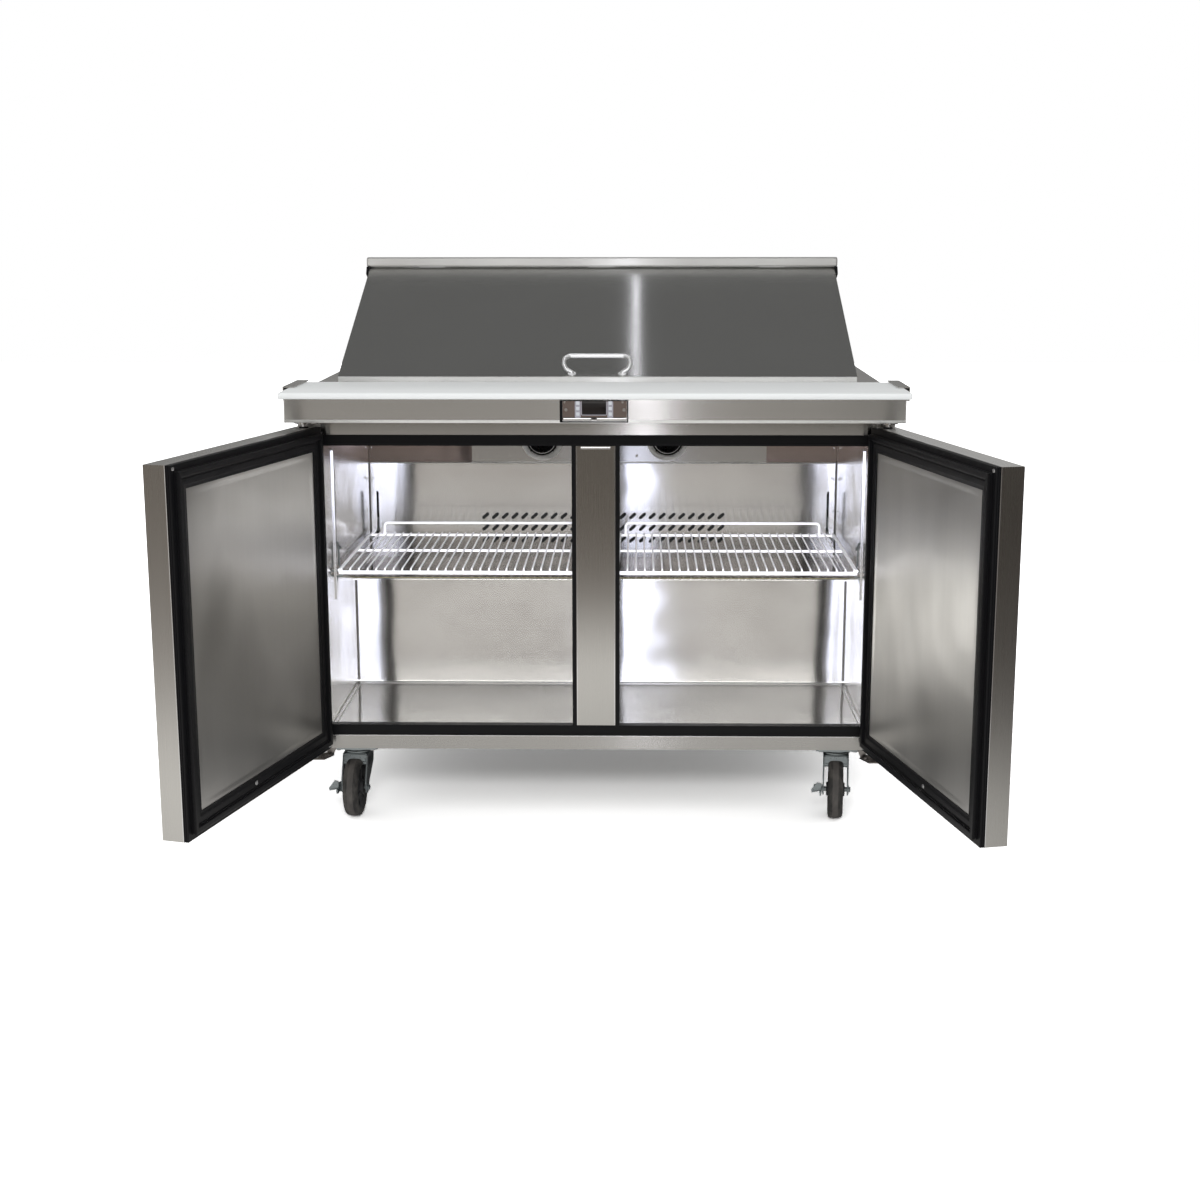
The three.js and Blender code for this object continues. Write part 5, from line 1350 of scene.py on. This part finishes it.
def make_lid_rail():
    """Rounded rail along the lid's rear edge, its skirts between the knuckles, and its end caps."""
    skin_high = span("lid_skin")[1]
    rail_low, rail_high = span("lid_top_rail")
    front, rear, seat, top = rail_low.y + 4.4, rail_high.y, skin_high.z + 0.8, rail_high.z
    rail = Solid()
    outline = bent_path([(front, seat, 0), (rear - 0.5, seat, 0), (rear, top - 1, 0), (front + 0.6, top, 0)],
                        4.2, closed=True)
    cy, cz = (front + rear) / 2, (seat + top) / 2
    stations = [(rail_low.x + d, share) for d, share in RAIL_END]
    stations += [(rail_high.x - d, share) for d, share in reversed(RAIL_END)]
    rail.loft([[(x, cy + (p.x - cy) * share, cz + (p.y - cz) * share) for p in outline]
               for x, share in stations])
    skirt = skin_high.z - 17
    starts = [rail_low.x + 8, *(k + KNUCKLE_GAP for k in LID_KNUCKLES)]
    ends = [*(k - KNUCKLE_GAP for k in LID_KNUCKLES), rail_high.x - 8]
    for x0, x1 in zip(starts, ends):
        rail.box((x0, skin_high.y + 0.7, skirt), (x1, skin_high.y + 2.4, seat + 2), 0.5)
        rail.box((x0, skin_high.y + 0.7, skirt), (x1, rear - 0.6, skirt + 1.6), 0.5)
    rail.piece("lid_rail", "edge", "lid", ["lid_top_rail"])
    caps = Solid()
    cap = [(skin_high.y - 24, skin_high.z - 15), (skin_high.y - 4, skin_high.z - 24),
           (rear - 1, skin_high.z - 26), (rear - 1, seat + 0.6), (skin_high.y - 12, seat + 0.6)]
    for side in (-1, 1):
        x0, x1 = side * (skin_high.x + 0.4), side * (rail_high.x - 0.4)
        caps.prism(cap, abs(x1 - x0), (min(x0, x1), 0, 0), Y, Z)
    caps.piece("lid_rail_caps", "black_plastic", "lid")


def make_lid_grip():
    """The bent grip on its two feet, and the bright hem along the lid's lip."""
    low, high = span("lid_skin")
    slope = lid_slope()
    foot_y = low.y + 13 * math.cos(slope)
    base = Vector((0, foot_y, high.z - (high.y - foot_y) * math.tan(slope)))
    up, out = Vector((0, math.cos(slope), math.sin(slope))), Vector((0, -math.sin(slope), math.cos(slope)))
    path = [base + X * -a + up * b + out * c for a, b, c in GRIP_HALF]
    path += [base + X * a + up * b + out * c for a, b, c in reversed(GRIP_HALF)]
    grip = Solid()
    grip.tube(path, GRIP_RADIUS, bend=9, sides=20, steps=8)
    for x in (-GRIP_FEET, GRIP_FEET):
        grip.lathe([(9, 0.2), (9, 1.2), (7.2, 2.4), (GRIP_RADIUS, 2.6)], base + X * x, out, 28)
    grip.piece("lid_grip", "grip", "lid", ["lid_handle"])
    hem = Solid()
    lip_y, lip_z = low.y, high.z - (high.y - low.y) * math.tan(slope)
    edge = [(x, lip_y + 0.5, lip_z - 0.6) for x in (low.x + 1, high.x - 1)]
    hem.tube(edge, 1.2, sides=12)
    hem.box((low.x + 1, lip_y - 0.4, low.z + 0.6), (high.x - 1, lip_y + 0.5, lip_z - 1.4), 0.3)
    hem.piece("lid_lip_hem", "edge", "lid")


def lid_slope():
    """The lid's pitch, from the levels of its upper face at its lip and its rear edge."""
    points = [v.co for v in frame["nodes"]["lid_skin"].data.vertices]
    front, rear = min(p.y for p in points), max(p.y for p in points)
    lip = max(p.z for p in points if p.y < front + 0.5 * MM)
    top = max(p.z for p in points if p.y > rear - 0.5 * MM)
    return math.atan2(top - lip, rear - front)


# ---------------------------------------------------------------- controller


def make_controller():
    """Black bezel with its inner face, flange, keys in two columns, display and screws."""
    low, high = span("controller")
    front = low.y
    left, right, bottom, top = low.x, high.x, low.z, high.z
    window_left, window_right = left + 5.5, right - 2.4
    flange_top = bottom + 10
    keys = {n: span(n) for n in frame["nodes"] if n.startswith("button_")}

    def plate(solid, outline, thick, y, holes):
        return solid.prism(outline, thick, (0, front + y, 0), X, Z, holes)

    def pocket(low, high, gap):
        return rounded_rect(low.x - gap, high.x + gap, low.z - gap, high.z + gap, 0.8, 2)

    bezel = Solid()
    hole = rounded_rect(window_left, window_right, bottom + 2.2, top - 1.2, 1.2, 3)
    plate(bezel, rounded_rect(left, right, bottom, top, 1.5, 3), 2.2, 1.7, [hole[::-1]])
    bezel.box((left + 8, front + 2, bottom + 7), (right - 8, high.y, top - 1), 1.5)
    bezel.piece("controller_bezel", "black_plastic", "cabinet", ["controller"])
    # Painted shade: the face is a darker copy of the liner.
    face = rounded_rect(window_left + 0.4, window_right - 0.4, flange_top, top - 1.6, 0.6, 2)
    plate(Solid(), face, 1.2, 2.4, [pocket(*box, 0.3) for box in keys.values()]).piece(
        "controller_face", "liner_painted_shade", "cabinet")
    flange = Solid()
    notch = 5
    for x0, x1 in ((window_left + 1, -notch), (notch, window_right - 1)):
        flange.box((x0, front - 0.6, bottom + 3.4), (x1, front + 1.6, flange_top - 0.6), 1.0, 3)
    flange.piece("controller_flange", "bright", "cabinet")
    columns = Solid()
    for side in (-1, 1):
        boxes = [box for box in keys.values() if (box[0].x > 0) == (side > 0)]
        x = sum((a.x + b.x) / 2 for a, b in boxes) / len(boxes)
        lowest = min(a.z for a, b in boxes)
        outline = rounded_rect(x - 5.6, x + 5.6, lowest - 4, top - 1.8, 2.2, 3)
        plate(columns, outline, 0.9, 1.6, [pocket(*box, 0.25) for box in boxes])
    columns.piece("key_columns", "key_surround", "cabinet")
    for node, (key_low, key_high) in keys.items():
        cap = Solid().box((key_low.x, key_low.y + 0.4, key_low.z), key_high, 0.9, 3)
        cap.piece(f"{node}_cap", "keys", node, [node])
    glass = Solid().box((-24, front + 0.6, bottom + 15.2), (24, front + 2.3, top - 1.8), 1.0, 3)
    glass.piece("controller_display", "display", "cabinet")
    rim = [(0, 0), (0, 1.0), (0.5, 1.4), (1.7, 1.2), (1.7, 0)]
    surround = Solid()
    surround.ring((-25.6, 25.6, bottom + 13.6, top - 1.6), rim, (0, front + 2.4, 0), X, Z, 2.5)
    surround.piece("display_surround", "key_surround", "cabinet")
    screws = Solid()
    middle = (bottom + top) / 2 + 3
    for x in (window_left + 7, window_right - 6):
        screws.screw((x, front + 1.4, middle), -Y, 3.4, 2.2)
        screws.screw((x - 3, front + 1.5, middle + 15), -Y, 2.4, 1.4)
    screws.piece("controller_screws", "screw", "cabinet")


# ---------------------------------------------------------------- worktop, board and pans


def make_pans():
    """Nine pans, three by three, and the bars between them."""
    low, high = span("food_pans")
    columns = rows = 3
    rim, depth = high.z, high.z - low.z
    width, length = (high.x - low.x) / columns, (high.y - low.y) / rows
    inside = [(0.8, -1.6), (0.4, 0), (6, 0.2), (8.6, -1), (9.4, -3.5), (13, -depth + 10), (17, -depth + 2.6),
              (24, -depth + 0.4)]
    outside = [(24, -depth), (16, -depth + 1.2), (11.8, -depth + 9), (8.2, -4), (5.6, -1), (1.6, -1.2)]
    profile = inside + outside
    pans, bars = Solid(), Solid()
    for i in range(columns):
        for j in range(rows):
            x0, y0 = low.x + i * width, low.y + j * length
            pans.ring((x0, x0 + width, y0, y0 + length), profile, (0, 0, rim), X, Y, 26, 6)
            floor = rounded_rect(x0 + 22, x0 + width - 22, y0 + 22, y0 + length - 22, 6, 4)
            pans.prism(floor, 0.7, (0, 0, rim - depth - 0.1), X, Y)
    pans.piece("pan_set", "liner", "cabinet", ["food_pans"])
    for i in range(1, columns):
        x = low.x + i * width
        bars.box((x - 7, low.y + 1, rim + 0.3), (x + 7, high.y - 1, rim + 1.5), 0.6)
    for j in range(1, rows):
        y = low.y + j * length
        bars.box((low.x + 1, y - 6, rim + 0.25), (high.x - 1, y + 6, rim + 1.2), 0.6)
    bars.piece("pan_dividers", "steel_across", "cabinet")


def make_worktop_fittings():
    """Screws on the hood, deck and casing, and the bright hems of the deck and casing."""
    deck_low, deck_high = span("worktop_deck")
    hood_low, hood_high = span("rear_hood")
    casing_low, casing_high = span("outer_casing")
    opening_low, opening_high = span("breaker_frame")
    screws = Solid()
    for x in row(hood_low.x + 40, hood_high.x - 40, 7):
        screws.screws([(x, hood_high.y - 0.1, z) for z in (hood_high.z - 20, hood_low.z + 24)], Y, 4.2)
    across = row(deck_low.x + 30, deck_high.x - 30, 6)
    screws.screws([(x, deck_high.y - 0.1, deck_low.z + 16) for x in across], Y, 4.2)
    header = (deck_low.z + opening_high.z) / 2 + 14
    screws.screws([(x, casing_low.y + 0.2, header) for x in (-26, 184)], -Y, 3.2, 2.0)
    screws.piece("worktop_screws", "screw", "cabinet")
    hem = Solid()
    y = deck_low.y
    hem.box((deck_low.x + 0.5, y - 0.5, deck_low.z), (deck_high.x - 0.5, y + 0.6, deck_low.z + 6), 0.5)
    for x in (deck_low.x + 1, deck_high.x - 1):
        hem.tube([(x, y + 1, deck_low.z + 2), (x, y + 1, deck_high.z - 1)], 1.2, sides=10)
    sill = [(x, casing_low.y + 0.5, opening_low.z - 1.4) for x in (casing_low.x + 3, casing_high.x - 3)]
    hem.tube(sill, 1.1, sides=10)
    hem.piece("worktop_hems", "edge", "cabinet")


def make_door_opening():
    """Rounded lips and clips on the black strips round the opening, and the bright trim on the mullion."""
    low, high = span("breaker_frame")
    lips = Solid()
    profile = [(0.6, 0), (0.6, 1.0), (2.2, 1.3), (3.4, 1.0), (3.4, 0)]
    plane = {"origin": (0, low.y, 0), "u": X, "v": Z}
    lips.ring((low.x, high.x, low.z, high.z), profile, **plane)
    inner = (low.x + 20, high.x - 20, low.z + 20, high.z - 20)
    lips.ring(inner, [(-1.4, 0), (-1.4, 0.8), (0.2, 1.2), (2.0, 0.6), (2.0, 0)], **plane)
    lips.piece("opening_lips", "black_plastic", "cabinet")
    post_low, post_high = span("centre_mullion")
    trim = Solid()
    for x in (post_low.x + 1.6, post_high.x - 1.6):
        ends = [(x, post_low.y + 0.9, z) for z in (post_low.z + 1, post_high.z - 1)]
        trim.tube(ends, 1.2, sides=10)
    trim.box((post_low.x + 10, post_low.y - 0.3, post_high.z - 6),
             (post_high.x - 10, post_low.y + 1.2, post_high.z - 1.5), 0.3)
    trim.piece("mullion_trim", "bright", "cabinet")
    catches = Solid()
    for x in (low.x + 24.5, post_low.x - 5, post_high.x + 5, high.x - 24.5):
        for z in (low.z + 40, low.z + 46, high.z - 46, high.z - 40):
            catches.box((x - 1.6, low.y + 2, z - 1.4), (x + 1.6, low.y + 14, z + 1.4), 0.6)
    catches.piece("opening_clips", "black_plastic", "cabinet")


# ---------------------------------------------------------------- rear


COMPRESSOR = (-260, 236)
SHROUD = (116, 384)
SHROUD_HEIGHT = 210
SHROUD_FRONT, SHROUD_BACK = 240, 338


def make_condensing_unit():
    """Tray, compressor, condenser with its fan, shroud and motor, and the pipes between them."""
    low, high = span("condensing_unit")
    fan_low, fan_high = span("condenser_fan")
    radius = (fan_high.x - fan_low.x) / 2
    make_fan("condenser_fan", radius, FAN_BLADES)
    floor = low.z
    machine = Solid()
    machine.prism(rounded_rect(low.x, high.x, low.y + 20, high.y, 6), 3, (0, 0, floor), X, Y)
    add_compressor(machine, floor)
    add_condenser_shroud(machine, floor, axis_of("condenser_fan_spin"), radius)
    machine.piece("compressor_and_frame", "machine", "cabinet", ["condensing_unit"])
    coil = Solid()
    coil.box((SHROUD[0] + 4, 286, floor + 6), (SHROUD[1] - 4, 334, floor + 204), 1.0)
    coil.piece("condenser_fins", "fins", "cabinet")
    make_pipes(floor)


def add_compressor(machine, floor):
    """A welded shell on its foot plate, with four rubber mounts and the relay box."""
    lower = [(74, 14), (84, 20), (87, 34), (87, 82), (88.5, 84)]
    upper = [(88.5, 90), (86, 94), (80, 120), (66, 138), (40, 150), (14, 153)]
    x, y = COMPRESSOR
    machine.lathe(lower + upper, (x, y, floor), Z, 56)
    machine.box((x - 90, y - 68, floor + 18), (x + 90, y + 68, floor + 21.5), 1.2)
    for dy in (-50, 50):
        for dx in (-70, 70):
            machine.lathe([(13, 3), (14, 8), (11, 11), (14, 14), (13, 19)], (x + dx, y + dy, floor), Z, 24)
            machine.bolt((x + dx, y + dy, floor + 21.4), Z, 6, 5)
    machine.box((-300, 150, floor + 60), (-235, 166, floor + 118), 4, 3)


def add_condenser_shroud(machine, floor, axis, radius):
    """Sheet box round the condenser with the fan's collar, motor and bracket."""
    cx, _, cz = axis
    left, right = SHROUD
    low, high = floor + 2, floor + SHROUD_HEIGHT
    face = [(left, low), (right, low), (right, high), (left, high)]
    opening = [(cx + a, cz + b) for a, b in circle(48, radius + 5)]
    machine.prism(face, -2, (0, SHROUD_FRONT, 0), X, Z, [opening])
    collar = [(radius + 5, -2), (radius + 5, 10), (radius + 8, 10), (radius + 8, -2)]
    machine.lathe(collar, (cx, SHROUD_FRONT - 8, cz), Y, 48, True)
    for x in (left, right - 2):
        machine.box((x, SHROUD_FRONT, low), (x + 2, SHROUD_BACK, high), 0.5)
    machine.box((left, SHROUD_FRONT, high - 2), (right, SHROUD_BACK, high), 0.5)
    motor = [(30, -88), (34, -84), (34, -32), (28, -27), (6, -24), (3, -22), (3, -6)]
    machine.lathe(motor, axis, Y, 36)
    machine.box((cx - 18, 140, low), (cx + 18, 176, cz - 28), 1.5)


def make_pipes(floor):
    """The coil's return bends, and the two lines from the compressor."""
    pipes = Solid()
    for z in row(floor + 24, floor + 186, 7):
        for x, way in ((SHROUD[1], 1), (SHROUD[0], -1)):
            bend = [(x, 298, z), (x + way * 10, 298, z), (x + way * 10, 322, z + 4), (x, 322, z + 4)]
            pipes.tube(bend, 4, bend=9, sides=10)
    hot = ((-232, 236, 148), (-232, 236, 186), (-60, 200, 190), (60, 300, 188), (118, 300, 180))
    cold = ((-300, 220, 110), (-300, 160, 150), (-380, 130, 190), (-380, 118, 200))
    for line, radius, bend in ((hot, 4.2, 22), (cold, 5.2, 20)):
        pipes.tube([(x, y, floor + z) for x, y, z in line], radius, bend=bend, sides=12)
    pipes.piece("refrigerant_pipes", "copper", "cabinet")


LOUVRE_ROWS = 9
LOUVRE_PITCH = 20
LOUVRE_COLUMNS = (-360, -120, 120, 360)


def make_rear_grille():
    """Slotted sheet with a hood over each slot."""
    low, high = span("rear_grille")
    grille = Solid()
    levels = [low.z + 28 + j * LOUVRE_PITCH for j in range(LOUVRE_ROWS)]
    louvres = [(x, z) for z in levels for x in LOUVRE_COLUMNS]
    slots = [rounded_rect(x - 104, x + 104, z - 3.5, z + 3.5, 3) for x, z in louvres]
    grille.prism(rounded_rect(low.x, high.x, low.z, high.z, 4), -1.4, (0, low.y, 0), X, Z, slots)
    for x, z in louvres:
        hood = [(low.y + 0.2, z + 3.6), (high.y + 1.6, z - 1.2), (high.y + 1.9, z - 0.2),
                (low.y + 1.4, z + 5.4)]
        grille.prism(hood, 206, (x - 103, 0, 0), Y, Z)
    grille.piece("grille_louvres", "steel_across", "cabinet", ["rear_grille"])
    places = [(x, high.y, z) for x in (low.x + 10, 0, high.x - 10) for z in (low.z + 9, high.z - 9)]
    Solid().screws(places, Y, 4.4).piece("grille_screws", "screw", "cabinet")


BOARD_CORNER = 7
BOARD_EDGE = 2.2


def make_board():
    """The board, with rounded corners and worn upper edges."""
    low, high = span("cutting_board")
    rings = []
    profile = ((1.0, low.z), (0, low.z + 1), (0, high.z - BOARD_EDGE),
               (BOARD_EDGE * 0.3, high.z - BOARD_EDGE * 0.3), (BOARD_EDGE, high.z))
    for inset, z in profile:
        loop = rounded_rect(low.x + inset, high.x - inset, low.y + inset, high.y - inset,
                            BOARD_CORNER - inset, 5)
        rings.append([(a, b, z) for a, b in loop])
    Solid().loft(rings).piece("board", "board", "cabinet", ["cutting_board"], sharp=50)


def build_table():
    """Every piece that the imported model's own nodes don't show."""
    for word in SIDES:
        make_door(word)
        for level in ("top", "bottom"):
            make_hinge(word, level)
        make_shelf(word)
        for place in ("front", "rear"):
            make_pilaster(word, place)
    make_liner()
    make_evaporator()
    make_door_opening()
    for corner in ("front_left", "front_right", "rear_left", "rear_right"):
        make_caster(corner, corner.startswith("front"))
    make_lid_rail()
    make_lid_grip()
    make_controller()
    make_board()
    make_pans()
    make_worktop_fittings()
    make_condensing_unit()
    make_rear_grille()


dress_cad_nodes()
build_table()
make_studio()
